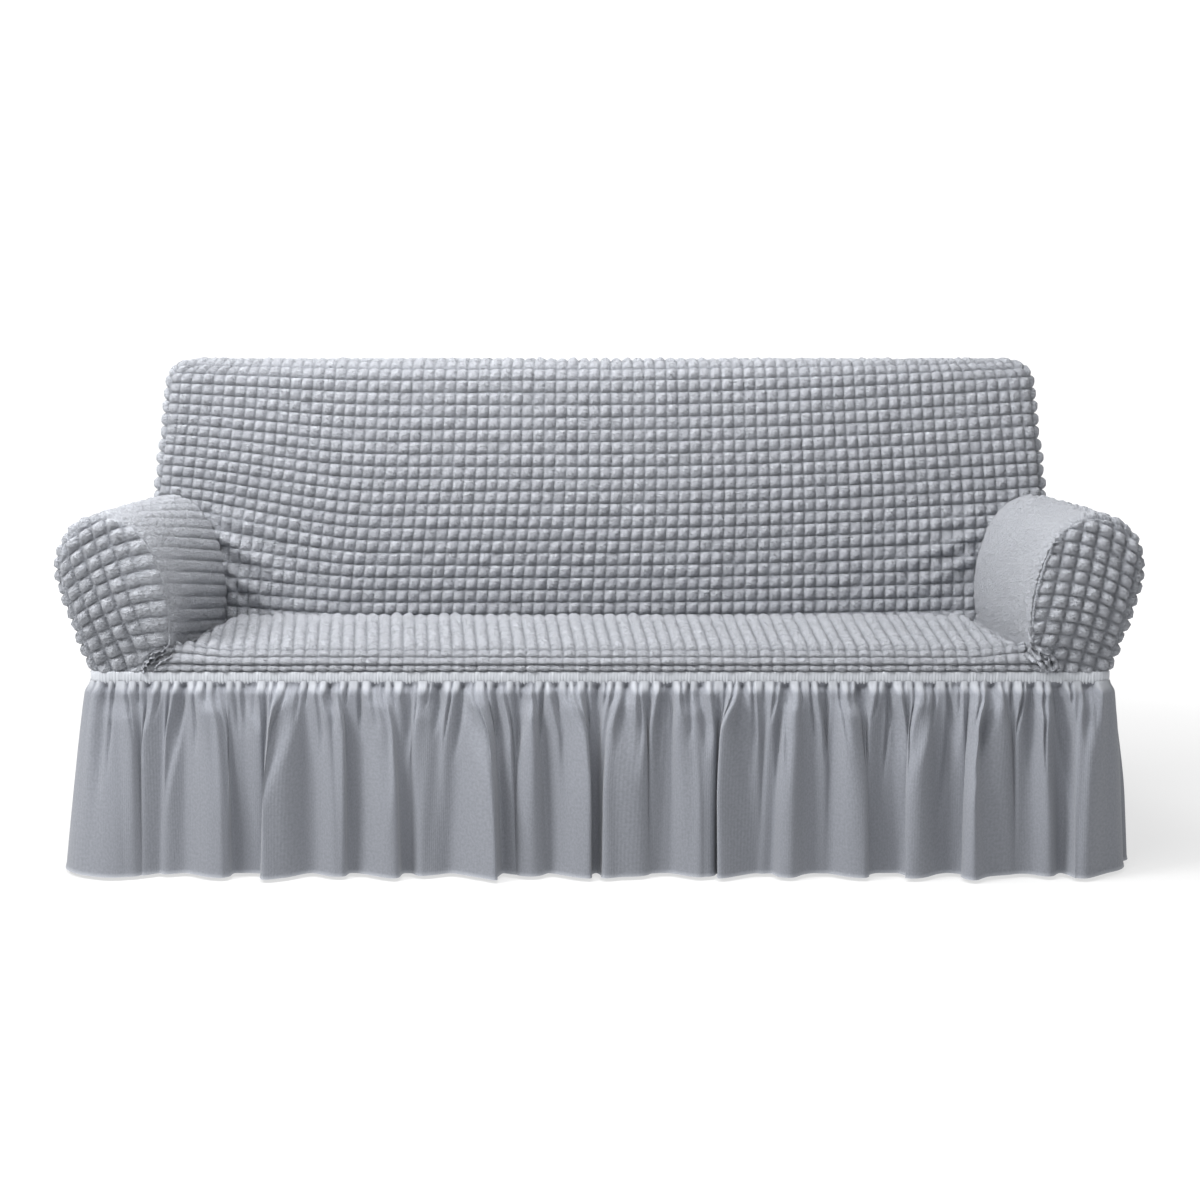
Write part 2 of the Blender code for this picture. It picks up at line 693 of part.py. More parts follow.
def fold_offset(folds, along, fall):
    """How far the cloth stands out at a place along the skirt, at a share of its drop."""
    out = SKIRT_FLARE * fall**SKIRT_SWING
    for centre, half_width, depth, reach in folds:
        away = abs(along - centre) / (half_width * lerp(FOLD_NECK, 1.0, fall))
        if away < 1.0:
            grown = gentle((fall - (1.0 - reach) * FOLD_DELAY) / FOLD_RISE)
            out += depth * grown * (0.5 + 0.5 * math.cos(math.pi * away))
    return out


def skirt_panel(collection, material, name, start, end, folds, columns):
    """A run of the skirt between two shares of the base's line."""
    loop = base_loop(0.0)

    def place(u, v):
        share = lerp(start, end, u)
        away = -loop.outward(share)
        point = loop.at(share) + away * fold_offset(folds, (share - start) * loop.length, 1.0 - v)
        return Vector((point.x, point.y, SKIRT_FOOT + SKIRT_DROP * v))

    obj = shaped_grid(name, collection, columns, SKIRT_ROWS, place, (0.0, 0.0, 0.2))
    return finish_cloth(obj, SKIRT_CLOTH, material)


def skirt(collection, material):
    """The four runs of gathered cloth, each from the middle of one corner to the middle of the next."""
    loop = base_loop(0.0)
    corner = math.radians(90) * BASE_CORNER
    wide = 2 * (BASE_HALF - BASE_CORNER) + corner
    deep = REAR_Y - FRONT_Y - 2 * BASE_CORNER + corner
    reach = 0.0
    for index, (name, columns) in enumerate(SKIRT_RUNS):
        length = deep if index % 2 else wide
        folds = scattered_folds(length, SIDE_FOLD_SEED + index)
        if index == 0:
            folds = [(x + wide / 2, half, depth, fold_reach) for x, half, depth, fold_reach in FRONT_FOLDS]
        start = (reach + SKIRT_CORNER_GAP / 2) / loop.length
        end = (reach + length - SKIRT_CORNER_GAP / 2) / loop.length
        skirt_panel(collection, material, name, start, end, folds, columns)
        reach += length


# ---------------------------------------------------------------- the whole cover


def main():
    clear_scene()
    pieces = make_collection("sofa slipcover")
    cutters = make_collection("cutters")
    bubble_cloth = cloth_material("bubble cloth", (0.52, 0.55, 0.60), 0.92)
    elastic = cloth_material("shirred elastic", (0.58, 0.61, 0.66), 0.88)
    ribbed_cloth = cloth_material("ribbed skirt cloth", (0.40, 0.43, 0.48), 0.95)

    arms = [arm_cutter("right arm space", cutters, 1), arm_cutter("left arm space", cutters, -1)]
    back = back_cutter("back space", cutters)

    inside_back(pieces, bubble_cloth, arms)
    outside_back(pieces, bubble_cloth)
    back_gusset(pieces, bubble_cloth, "back_gusset_right", 1, [arms[0]])
    back_gusset(pieces, bubble_cloth, "back_gusset_left", -1, [arms[1]])
    seat(pieces, bubble_cloth)
    arm_sleeve(pieces, bubble_cloth, "arm_sleeve_right", 1, [back])
    arm_sleeve(pieces, bubble_cloth, "arm_sleeve_left", -1, [back])
    arm_front(pieces, bubble_cloth, "arm_front_right", 1)
    arm_front(pieces, bubble_cloth, "arm_front_left", -1)
    waistband(pieces, elastic)
    skirt(pieces, ribbed_cloth)


main()
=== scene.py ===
"""The finish of a sofa slipcover: puckered bubble cloth, a shirred band and a gathered skirt.

Metres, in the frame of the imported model. Each cut piece is a fine sheet that follows its solid. It
carries the place of each point in its cloth, counted in bubbles, and node trees raise the bubbles
and the gathers from that.
"""

import math
import random

import bpy
import numpy as np
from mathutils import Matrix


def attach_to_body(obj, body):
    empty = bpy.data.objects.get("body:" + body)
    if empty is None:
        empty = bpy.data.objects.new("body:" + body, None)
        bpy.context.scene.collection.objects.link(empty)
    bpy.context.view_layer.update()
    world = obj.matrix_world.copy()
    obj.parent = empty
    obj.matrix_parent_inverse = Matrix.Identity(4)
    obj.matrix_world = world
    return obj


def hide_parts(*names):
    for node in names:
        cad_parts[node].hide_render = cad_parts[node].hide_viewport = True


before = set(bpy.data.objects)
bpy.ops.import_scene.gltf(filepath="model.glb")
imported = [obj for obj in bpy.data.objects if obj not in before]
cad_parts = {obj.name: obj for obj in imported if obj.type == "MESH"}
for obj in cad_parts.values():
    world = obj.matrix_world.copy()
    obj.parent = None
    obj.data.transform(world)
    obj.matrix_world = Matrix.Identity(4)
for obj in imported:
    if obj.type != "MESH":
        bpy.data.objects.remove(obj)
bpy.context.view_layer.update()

# ---------------------------------------------------------------- sizes, as in the solids

SEAM = 0.0015
BASE_HALF = 0.967
FRONT_Y = -0.420
REAR_Y = 0.420
BASE_CORNER = 0.030
BAND_FOOT = 0.3664
BAND_HEIGHT = 0.0192
BAND_PROUD = 0.0020
COVER_FOOT = 0.3860

SEAT_Z = 0.430
SEAT_HALF = 0.806
SEAT_ROLL = 0.042  # rounder than the solid's, where the cloth is puffed,
SEAT_NOSE = 1.25  # and this much longer than high
SEAT_CREASE = 0.0046  # how far the seat's line starts in front of the back's face
SEAT_BEND = 0.012
SEAT_REAR_TUCK = 0.026
SEAT_SIDE_TUCK = 0.014
SEAT_SIDE_DIP = 0.035
SEAT_MOUTH_HALF = 0.826
SEAT_FOOT_HALF = 0.866
SEAT_WIDENING = 0.009
SEAT_CORNER_LIFT = 0.013
SEAT_CORNER_X = 0.700
SEAT_CORNER_RUN = 0.110
SEAT_CORNER_DEPTH = 0.100

ARM_EDGE = 0.028
ARM_CROWN = 0.020
ARM_CROWN_FLATNESS = 0.7
ARM_CROWN_FOOT = 0.45
ARM_CROWN_TOP = 0.50
ARM_MIDDLE = (0.910, 0.0, 0.520)
ARM_TOP = 0.684
ARM_FRONT_START = 2 / 24  # shares of the arm's outline where its front leaves the seat,
ARM_FRONT_CREST = 9 / 24  # where it starts over the top
ARM_FRONT_DESCENT = 13 / 24  # and where it starts down the outer side

BACK_HALF = 0.965
BACK_TOP = 0.974
BACK_FOOT = 0.404
BACK_LEAN = 0.17
BACK_FACE_Y = 0.075
BACK_CROWN = 0.012
BACK_CROWN_Z = 0.700
BACK_CROWN_REACH = 0.290
BACK_EDGE = 0.045
REAR_LEAN = 0.045
REAR_EDGE = 0.028
BACK_MIDDLE = (0.0, 0.270, 0.600)
GUSSET_FOOT = 0.640

SKIRT_DROP = 0.3590
SKIRT_BELOW_BAND = 0.0004
SKIRT_FOOT = BAND_FOOT - SKIRT_BELOW_BAND - SKIRT_DROP
SKIRT_FLARE = 0.030
SKIRT_SWING = 0.8  # power of the fall by which it flares
FOLD_NECK = 0.75  # width of a fold at the band, of that at the hem

# ---------------------------------------------------------------- sizes of the finish

BUBBLE = 0.0270  # pitch of the puckered check
ARM_BUBBLE = 0.0283  # and on the fronts of the arms
BACK_COLUMNS = 78
BACK_ROWS, BACK_FOOT_ROWS = 31, 4  # rows of bubbles, and those below them that the climb brings up
GUSSET_BUBBLES = (13, 9)  # up a gusset and across it
REAR_BUBBLES = (74, 21)  # across the outside back and up it
REAR_SHARES = (0.0, 0.12, 0.36, 0.64, 0.88)  # points across each of them
SEAT_BUBBLES = (80, 21)  # across the seat and along it
SEAT_PITCHES = (0.0233, 0.0255)  # pitch of the seat's columns, in front and at the rear
SEAT_DRIFT = 0.018  # how far they slip to the left on their way to the rear
SEAT_LINES = (0.0, 0.012, 0.029, 0.048, 0.070)  # grooves over the seat's front edge, up from the band
SLEEVE_BUBBLES = (28, 31)  # round an arm and along it
BACK_TAPER = (1.006, 0.981)  # the back's width just over the arms and at its top, of the solid's
TAPER_FOOT, TAPER_RUN = 0.62, 0.36  # where that narrowing starts, and over what height
BACK_FREE = 0.74  # half of the width in which the rounded top corners leave the columns alone
COLUMN_SHARES = (0.0, 0.11, 0.30, 0.50, 0.70, 0.89)  # points across a bubble
ROW_SHARES = (0.0, 0.08, 0.27, 0.50, 0.73, 0.92)  # points up a bubble
RIM = ((1, 1), (1, 1), (0, 0))  # one more row and column of points on each side of a sheet
SEAM_TURN = 0.004  # how far a cut edge is turned in at its seam
SEAM_LAP = 0.0016  # and how far it reaches past the seam's line
FOOT_HIDDEN = 0.004  # cloth goes this far below the back's foot,
BACK_HIDDEN, GUSSET_HIDDEN = 0.022, 0.012  # and where it lies this deep inside an arm
ARM_FRONT_STEP = 0.0018
ARM_FRONT_MIDDLE = (0.90, 0.5)  # x and z of what its check leans about
GATHER = 0.0060  # pitch of the band's gathers
SKIRT_STEPS = (0.0025, 0.0036)  # points along the skirt's front, and along its other runs
SKIRT_LEVELS = 60
SKIRT_CALM = (0.035, 0.14)  # how near their ends the long and the short runs of the skirt lie flat
SKIRT_STAND, SKIRT_SHOULDER = 0.0036, 0.0070  # how far it stands off at the band and below that
SKIRT_CORNER, CORNER_RUN = 0.020, 0.13  # how far its left front corner swings out, over what run
FOLD_SWELL, FOLD_LEAN, POCKET_LEAN = 1.15, 0.98, 0.68  # depth and sideways lean of its folds
FOLD_LAG = 0.45  # how much of the drop the shortest fold would leave out
CREASE_LIMIT = 0.020  # where several creases meet, no deeper than this
HEM_START = 0.984  # share of the drop
RIB_PITCH = 0.0030
SKY, KEY_POWER, TOP_POWER, FLOOR_GLOW = 0.42, 141.0, 145.0, 0.66
STAGE = 12.0  # half of the floor's and the wall's width
STAGE_WALL = (7.0, -0.5, 8.0)  # the wall's y, foot and top
CAMERA_PLACE, CAMERA_DOWN = (0.0, -3.82, 0.9365), 6.947  # its tilt is in degrees below level
CAMERA_LENS = (54.66, 36.0)  # lens and sensor in mm

ARM_OUTLINE = [  # x, z
    (0.812, 0.404), (0.806, 0.470), (0.809, 0.529), (0.821, 0.580),
    (0.839, 0.623), (0.864, 0.655), (0.892, 0.676), (0.925, 0.684),
    (0.960, 0.677), (0.992, 0.658), (1.016, 0.626), (1.026, 0.590),
    (1.020, 0.540), (1.004, 0.488), (0.984, 0.432), (0.967, 0.386),
]

ARM_FRONT_CORNER = [  # x, z
    (0.868, 0.386), (0.8585, 0.4065), (0.842, 0.424), (0.8178, 0.437),
]

FRONT_FOLDS = [
    # x, half_width, depth, reach, lean
    (-0.905, 0.075, 0.016, 0.55, 0.2),
    (-0.735, 0.050, 0.030, 0.80, 0.7),
    (-0.596, 0.052, 0.034, 1.00, -0.9),
    (-0.507, 0.040, 0.022, 0.70, 0.5),
    (-0.415, 0.050, 0.032, 0.95, 0.8),
    (-0.323, 0.038, 0.018, 0.60, -0.6),
    (-0.232, 0.056, 0.034, 1.00, 0.7),
    (-0.136, 0.036, 0.018, 0.65, -0.4),
    (-0.052, 0.048, 0.030, 0.90, 0.6),
    (0.044, 0.050, 0.032, 1.00, -0.9),
    (0.172, 0.044, 0.026, 0.75, 0.5),
    (0.256, 0.040, 0.032, 0.95, -0.8),
    (0.362, 0.046, 0.026, 0.85, -0.6),
    (0.472, 0.050, 0.030, 0.70, 0.6),
    (0.608, 0.048, 0.032, 1.00, -0.8),
    (0.726, 0.058, 0.036, 0.90, -0.9),
    (0.833, 0.040, 0.020, 0.60, 0.5),
    (0.915, 0.046, 0.030, 0.95, -0.6),
]

SIDE_FOLD_PITCH = 0.105
SIDE_FOLD_SPREAD = 0.25
SIDE_FOLD_HALF_WIDTH = 0.050
SIDE_FOLD_DEPTHS = (0.020, 0.034)
SIDE_FOLD_REACHES = (0.60, 1.00)
SIDE_FOLD_SEED = 11
SIDE_FOLD_LEANS = (-0.9, -0.6, 0.5, 0.8)

# What starts under the band: pitches, half widths, depths, and shares of the drop where it dies out.
SKIRT_POCKETS = ((0.034, 0.062), (0.016, 0.026), (0.010, 0.018), (0.9, 2.4))
SKIRT_CREASES = ((0.050, 0.085), (0.017, 0.027), (0.011, 0.018), (0.25, 0.80))
SKIRT_GATHERS = ((0.015, 0.025), (0.006, 0.0105), (0.008, 0.013), (0.14, 0.60))

# A crumpled fold of seam: pitches and shares of its waves, then the rise and the side of each row.
RUFFLE_WAVES = ((0.0105, 0.45), (0.0170, 0.55), (0.0290, 0.40))
RUFFLE_RISE = (0.0, 0.45, 0.85, 1.0, 0.85, 0.45, 0.0)
RUFFLE_SIDES = (-1.3, -1.1, -0.8, 0.0, 0.8, 1.1, 1.3)

# What differs between the arms, left (-1) and right (1): the bubbles that the sleeve's check slips from
# front to rear, how far cut edges are turned in, and the sleeve's crinkle; then, on the front, the
# degrees by which its check leans, the share of its rows' pitch, the height and the waver of its seam
# at the top and at the foot, and the size, thickness and slowness of the bunches at its foot.
ARM_LOOKS = {
    -1: {
        "slip": 4, "turn": 0.0008, "crinkle": 0.0036, "lean": 19, "rows": 1.0,
        "seam": (0.0010, 0.015), "waver": (0.0005, 0.0055), "bunch": 0.5, "fold": (0.0012, 1.2),
    },
    1: {
        "slip": 5, "turn": SEAM_TURN, "crinkle": 0.0028, "lean": 12, "rows": 0.87,
        "seam": (0.0110, 0.021), "waver": (0.0011, 0.0080), "bunch": 1.0, "fold": (0.0036, 1.9),
    },
}

SKIRT_RUNS = ("skirt_front", "skirt_right", "skirt_back", "skirt_left")

# Pulls in the inside back's cloth: soft ridges from one point to another, seen from the front.
BACK_PULLS = [
    # x0, z0, x1, z1, width, height
    (0.80, 0.640, 0.62, 0.590, 0.016, 0.008),
    (0.80, 0.600, 0.60, 0.520, 0.016, 0.011),
    (0.79, 0.550, 0.64, 0.470, 0.014, 0.010),
    (-0.82, 0.640, -0.66, 0.600, 0.014, 0.008),
    (-0.82, 0.600, -0.66, 0.500, 0.014, 0.014),
    (-0.82, 0.550, -0.70, 0.440, 0.013, 0.015),
    (-0.80, 0.500, -0.76, 0.430, 0.012, 0.012),
]

# How the stretched check runs over the inside back: its rows climb towards both arms, most at
# CLIMB_LEVEL, and its columns drift towards the left arm at their feet.
LEFT_CLIMB, RIGHT_CLIMB = 0.076, 0.036
CLIMB_LEVEL, CLIMB_TOP = 0.590, 1.030
COLUMN_DRIFT = 0.024


# ---------------------------------------------------------------- curves


def lerp(a, b, t):
    return a + (b - a) * t


def gentle(t):
    t = np.clip(t, 0.0, 1.0)
    return t * t * (3 - 2 * t)


def joined(*values):
    """Values a point, from arrays or plain numbers, side by side in the last axis."""
    shape = np.broadcast_shapes(*(np.shape(value) for value in values))
    return np.stack([np.broadcast_to(value, shape).astype(float) for value in values], axis=-1)


def smooth_curve(knots, steps=12):
    """Points of a Catmull-Rom curve through the knots."""
    knots = np.array(knots)
    padded = np.vstack([2 * knots[0] - knots[1], knots, 2 * knots[-1] - knots[-2]])
    points = []
    for p0, p1, p2, p3 in zip(padded, padded[1:], padded[2:], padded[3:]):
        for t in np.arange(steps) / steps:
            line = 2 * p1 + (p2 - p0) * t
            bend = (2 * p0 - 5 * p1 + 4 * p2 - p3) * t**2 + (3 * p1 - p0 - 3 * p2 + p3) * t**3
            points.append((line + bend) / 2)
    return np.array(points + [knots[-1]])


def reach_of(points):
    """How far along a line each of its points lies."""
    return np.append(0.0, np.cumsum(np.linalg.norm(np.diff(points, axis=0), axis=1)))


class Path:
    """A plane curve that is read by shares of its length, over and over if it is closed."""

    def __init__(self, points, closed=False):
        self.points = np.array(points)
        self.closed = closed
        self.reach = reach_of(self.points)
        self.length = self.reach[-1]

    def at(self, share):
        share = np.mod(share, 1.0) if self.closed else np.clip(share, 0.0, 1.0)
        return joined(*(np.interp(share * self.length, self.reach, axis) for axis in self.points.T))

    def outward(self, share, step=0.004):
        """The unit vectors to the left of the way along the path."""
        along = self.at(share + step) - self.at(share - step)
        across = joined(-along[..., 1], along[..., 0])
        return across / np.linalg.norm(across, axis=-1, keepdims=True)

    def distance(self, points):
        nearest = np.full(points.shape[:-1], np.inf)
        for a, b in zip(self.points, self.points[1:]):
            side = b - a
            share = np.clip(((points - a) @ side) / (side @ side), 0.0, 1.0)
            gap = np.linalg.norm(points - a - share[..., None] * side, axis=-1)
            nearest = np.minimum(nearest, gap)
        return nearest


def arc(centre, radius, start, end, steps):
    """Points of an arc between two angles in degrees."""
    angles = np.radians(np.linspace(start, end, steps + 1))
    return joined(centre[0] + radius * np.cos(angles), centre[1] + radius * np.sin(angles))


def edge_drop(depth, radius):
    """How far a rounded edge has fallen away at this depth in from its outline."""
    left = np.clip(radius - depth, 0.0, radius)
    return radius - np.sqrt(radius**2 - left**2)


def seam_inset(radius):
    return radius * (1 - math.sqrt(0.5))


def face_y(z):
    return BACK_FACE_Y + (z - SEAT_Z) * BACK_LEAN


def rear_y(z):
    return REAR_Y + (z - COVER_FOOT) * REAR_LEAN


def hump(points, start, end, width):
    """How near points lie to a line between two others: 1 on it, 0 well away, fading to its ends."""
    start, side = np.array(start), np.array(end) - np.array(start)
    share = ((points - start) @ side) / (side @ side)
    gap = np.linalg.norm(points - start - np.clip(share, 0, 1)[..., None] * side, axis=-1)
    return np.exp(-((gap / width) ** 2)) * gentle(1.0 - 0.8 * np.clip(share, 0, 1))


ARM = Path(smooth_curve(ARM_OUTLINE))


def arm_point(share, inset):
    """Points of the arm's outline moved in, whose end comes down to the foot of the bubble cloth."""
    points = ARM.at(share) - ARM.outward(share) * np.asarray(inset)[..., None]
    end = gentle((np.asarray(share) - 0.93) / 0.07)
    points[..., 1] += (COVER_FOOT - (ARM.at(1.0) - ARM.outward(1.0) * seam_inset(ARM_EDGE))[1]) * end
    return points


def base_loop(proud):
    """The base's line seen from above, anticlockwise from its front left corner, grown by proud."""
    side, front, rear = BASE_HALF - BASE_CORNER, FRONT_Y + BASE_CORNER, REAR_Y - BASE_CORNER
    turns = (
        ((-side, front), 225, 270, 8),
        ((side, front), 270, 360, 16),
        ((side, rear), 0, 90, 16),
        ((-side, rear), 90, 180, 16),
        ((-side, front), 180, 225, 8),
    )
    arcs = [arc(centre, BASE_CORNER + proud, *angles) for centre, *angles in turns]
    return Path(np.vstack(arcs), closed=True)


# ---------------------------------------------------------------- sheets


def bubble_lines(count, shares):
    """Places along a row of bubbles, closer together beside their grooves."""
    places = [cell + share for cell in range(count) for share in shares]
    return np.array(places + [count], float)


def outward_normals(points, inside):
    across = np.gradient(points, axis=1)
    upward = np.gradient(points, axis=0)
    normals = np.cross(across, upward)
    normals /= np.maximum(np.linalg.norm(normals, axis=-1, keepdims=True), 1e-9)
    facing = np.sum(normals * (points - np.array(inside)))
    return normals if facing > 0 else -normals, facing > 0


def lap(edge, inner):
    """The way from a sheet's edge to its turned end, along the sheet and past the seam."""
    away = edge - inner
    return SEAM_LAP * away / np.maximum(np.linalg.norm(away, axis=-1, keepdims=True), 1e-9)


def ruffle(line, outward, sideways, height, wave, seed, thick=0.0010, slow=1.0):
    """A thin crumpled fold of seam allowance that stands on a line: its points, cloth and relief."""
    dice = random.Random(seed)
    reach = reach_of(line)
    waver, jag = np.zeros_like(reach), np.zeros_like(reach)
    for pitch, share in RUFFLE_WAVES:
        turns = reach / pitch / slow + dice.random()
        waver += share * np.sin(2 * math.pi * turns + 1.5 * np.sin(90 * reach))
        turns = reach / (0.8 * pitch * slow) + dice.random()
        jag += share * np.sin(2 * math.pi * turns)
    up = np.array(RUFFLE_RISE)[:, None]
    tall = height * (0.75 + 0.35 * jag) * up - 0.002
    shift = thick * np.array(RUFFLE_SIDES)[:, None] + wave * waver * up**1.3
    points = line + outward * tall[..., None] + sideways * shift[..., None]
    across, along = np.meshgrid(reach / BUBBLE, np.arange(len(RUFFLE_RISE)) * 0.06)
    return points, joined(across, along, 0.0), np.zeros_like(points), line


def make_sheet(name, points, cloth, relief, inside, keep=None, turn=SEAM_TURN, ruffles=()):
    """A sheet through rows of points. Its cut edges are turned in, and places that nobody sees go."""
    out, straight = outward_normals(points, inside)
    cloth = joined(*cloth, 0.0)
    keep = np.ones(points.shape[:2], bool) if keep is None else keep
    if turn:
        grids = (points, out, cloth, relief)
        points, out, cloth, relief = (np.pad(grid, RIM, mode="edge") for grid in grids)
        keep = np.pad(keep, 1, mode="edge")
        edge = np.ones(points.shape[:2], bool)
        edge[1:-1, 1:-1] = False
        turned = points.swapaxes(0, 1)
        for grid in (points, points[::-1], turned, turned[::-1]):
            grid[0] += lap(grid[1], grid[2])
        points[edge] -= turn * out[edge]
        relief[edge] = 0.0
    grids = [(points, cloth, relief, out, keep, straight)]
    for points, cloth, relief, inside in ruffles:
        out, straight = outward_normals(points, inside)
        grids.append((points, cloth, relief, out, np.ones(points.shape[:2], bool), straight))
    corners, start = [], 0
    for points, *_, keep, straight in grids:
        rows, columns = points.shape[:2]
        index = start + np.arange(rows * columns).reshape(rows, columns)
        quads = np.stack([index[:-1, :-1], index[:-1, 1:], index[1:, 1:], index[1:, :-1]], axis=-1)
        quads = quads.reshape(-1, 4)[:, :: 1 if straight else -1]
        corners.append(quads[keep.reshape(-1)[quads - start].any(axis=1)])
        start += rows * columns
    used, quads = np.unique(np.vstack(corners), return_inverse=True)
    quads = quads.reshape(-1, 4)
    points, cloth, relief, out = (
        np.vstack([grid[n].reshape(-1, 3) for grid in grids])[used] for n in range(4)
    )
    mesh = bpy.data.meshes.new(name)
    mesh.from_pydata(points, [], quads)
    for field, values in (("cloth", cloth), ("relief", relief), ("out", out)):
        layer = mesh.attributes.new(field, "FLOAT_VECTOR", "POINT")
        layer.data.foreach_set("vector", values.astype(np.float32).ravel())
    mesh.shade_smooth()
    return placed(name, mesh)


def placed(name, data):
    obj = bpy.data.objects.new(name, data)
    bpy.context.scene.collection.objects.link(obj)
    return obj


# ---------------------------------------------------------------- node trees


class Value:
    """A node's output, which is summed and multiplied like a number."""

    def __init__(self, graph, socket):
        self.graph, self.socket = graph, socket

    def __add__(self, other):
        return self.graph.math("ADD", self, other)

    __radd__ = __add__

    def __sub__(self, other):
        return self.graph.math("SUBTRACT", self, other)

    def __rsub__(self, other):
        return self.graph.math("SUBTRACT", other, self)

    def __mul__(self, other):
        return self.graph.math("MULTIPLY", self, other)

    def __pow__(self, other):
        return self.graph.math("POWER", self, other)

    def __abs__(self):
        return self.graph.math("ABSOLUTE", self)


class Graph:
    """Adds nodes to a tree. An input may be a number, a vector, a socket or a Value."""

    def __init__(self, tree):
        self.tree = tree

    def put(self, socket, value):
        if isinstance(value, Value):
            value = value.socket
        if isinstance(value, bpy.types.NodeSocket):
            self.tree.links.new(value, socket)
        elif value is not None:
            socket.default_value = value

    def node(self, kind, inputs=(), **settings):
        made = self.tree.nodes.new(kind)
        for name, value in settings.items():
            setattr(made, name, value)
        for key, value in dict(inputs).items():
            self.put(made.inputs[key], value)
        return made

    def value(self, kind, inputs=(), output=0, **settings):
        return Value(self, self.node(kind, inputs, **settings).outputs[output])

    def math(self, operation, *values, clamp=False):
        return self.value("ShaderNodeMath", enumerate(values), operation=operation, use_clamp=clamp)

    def vector(self, operation, *values):
        output = 1 if operation == "LENGTH" else 0
        return self.value("ShaderNodeVectorMath", enumerate(values), output, operation=operation)

    def split(self, vector):
        outputs = self.node("ShaderNodeSeparateXYZ", {0: vector}).outputs
        return [Value(self, output) for output in outputs]

    def stretched(self, value, low, high, new_low, new_high):
        ends = enumerate((value, low, high, new_low, new_high))
        return self.value("ShaderNodeMapRange", ends, interpolation_type="SMOOTHSTEP")

    def dice(self, cell, seed):
        """Three chances between 0 and 1 for each cell."""
        chance = self.node("ShaderNodeTexWhiteNoise", {0: cell, "W": seed}, noise_dimensions="4D")
        return self.split(chance.outputs["Color"])

    def noise(self, place, scale, detail=2.0, distortion=0.0):
        """Noise with its own scale along each axis."""
        sizes = {"Vector": self.vector("MULTIPLY", place, scale), "Scale": 1.0}
        sizes.update({"Detail": detail, "Distortion": distortion})
        return self.value("ShaderNodeTexNoise", sizes)


def geometry_tree(name, inputs):
    """A tree with a geometry going in and out, and its named sizes with their usual values."""
    tree = bpy.data.node_groups.new(name, "GeometryNodeTree")
    tree.interface.new_socket("Geometry", in_out="INPUT", socket_type="NodeSocketGeometry")
    for label, value in inputs.items():
        kind = "NodeSocketInt" if isinstance(value, int) else "NodeSocketFloat"
        tree.interface.new_socket(label, in_out="INPUT", socket_type=kind).default_value = value
    tree.interface.new_socket("Finish", in_out="INPUT", socket_type="NodeSocketMaterial")
    tree.interface.new_socket("Geometry", in_out="OUTPUT", socket_type="NodeSocketGeometry")
    return Graph(tree), tree.nodes.new("NodeGroupInput").outputs


def field_of(graph, name):
    kind = "GeometryNodeInputNamedAttribute"
    return graph.value(kind, {"Name": name}, "Attribute", data_type="FLOAT_VECTOR")


def moved_by(graph, geometry, offset):
    return graph.value("GeometryNodeSetPosition", {"Geometry": geometry, "Offset": offset})


def raise_cloth(graph, geometry, height, lift):
    """Moves the sheet outwards and keeps how far up its bubble each point lies."""
    sizes = {0: field_of(graph, "out"), "Scale": height}
    offset = graph.value("ShaderNodeVectorMath", sizes, operation="SCALE")
    sizes = {"Geometry": moved_by(graph, geometry, offset), "Name": "lift", "Value": lift}
    kind = "GeometryNodeStoreNamedAttribute"
    return graph.value(kind, sizes, data_type="FLOAT", domain="POINT")


def end_tree(graph, geometry, material):
    """Real, finished geometry comes out of the tree, which is handed back."""
    real = graph.value("GeometryNodeRealizeInstances", {0: geometry})
    dressed = graph.value("GeometryNodeSetMaterial", {"Geometry": real, "Material": material})
    graph.node("NodeGroupOutput", {0: dressed})
    return graph.tree


def creases_of(graph, cloth, scale, detail, distortion):
    """Sharp little creases: 0 along each and rising to 1 between them."""
    away = abs(graph.noise(cloth, scale, detail, distortion) - 0.5)
    return graph.math("MULTIPLY", away, 3.4, clamp=True)


def bubble_tree():
    """Puckered bubbles: a cushion in each square of the check, with crisp grooves between the rows."""
    sizes = {"Height": 0.0085, "Sunk": 0.32, "Row Grooves": 4.0, "Column Grooves": 2.5}
    sizes.update({"Unevenness": 0.55, "Pucker": 0.20, "Slackness": 0.0022, "Crinkle": 0.0010, "Seed": 3})
    graph, given = geometry_tree("puckered bubbles", sizes)
    cloth = field_of(graph, "cloth")
    columns, rows, depth = graph.split(field_of(graph, "relief"))
    dice = graph.dice(graph.vector("FLOOR", cloth), given["Seed"])
    x, y = (graph.math("FRACT", place) * 2.0 - 1.0 for place in graph.split(cloth)[:2])
    pad_x = 1.0 - abs(x) ** given["Column Grooves"]
    pad_y = 1.0 - abs(y) ** given["Row Grooves"]
    pad = lerp(1.0, pad_x, columns) * lerp(1.0, pad_y, rows)
    tilt = (dice[1] - 0.5) * x + (dice[2] - 0.5) * y
    jitter = tilt * given["Unevenness"] + (dice[0] - 0.5) * given["Unevenness"]
    jitter = x * y * given["Pucker"] + jitter
    lift = pad_x * pad_y * jitter + pad
    slack = (graph.noise(cloth, (0.30, 0.30, 0.30)) - 0.5) * given["Slackness"]
    crinkle = (creases_of(graph, cloth, (1.7, 3.2, 1.0), 2.0, 0.8) - 0.5) * given["Crinkle"]
    crinkle = crinkle * graph.stretched(depth, 0.0, 0.05, 0.0, 1.0)
    height = (slack * 2.0 + (lift - given["Sunk"]) * given["Height"]) * depth + crinkle
    # where the relief is flat the kept lift settles at an even 0.62, so the finish paints no groove
    # shade there
    lift = lerp(0.62, lift, graph.stretched(depth, 0.0, 0.9, 0.0, 1.0))
    return end_tree(graph, raise_cloth(graph, given["Geometry"], height, lift), given["Finish"])


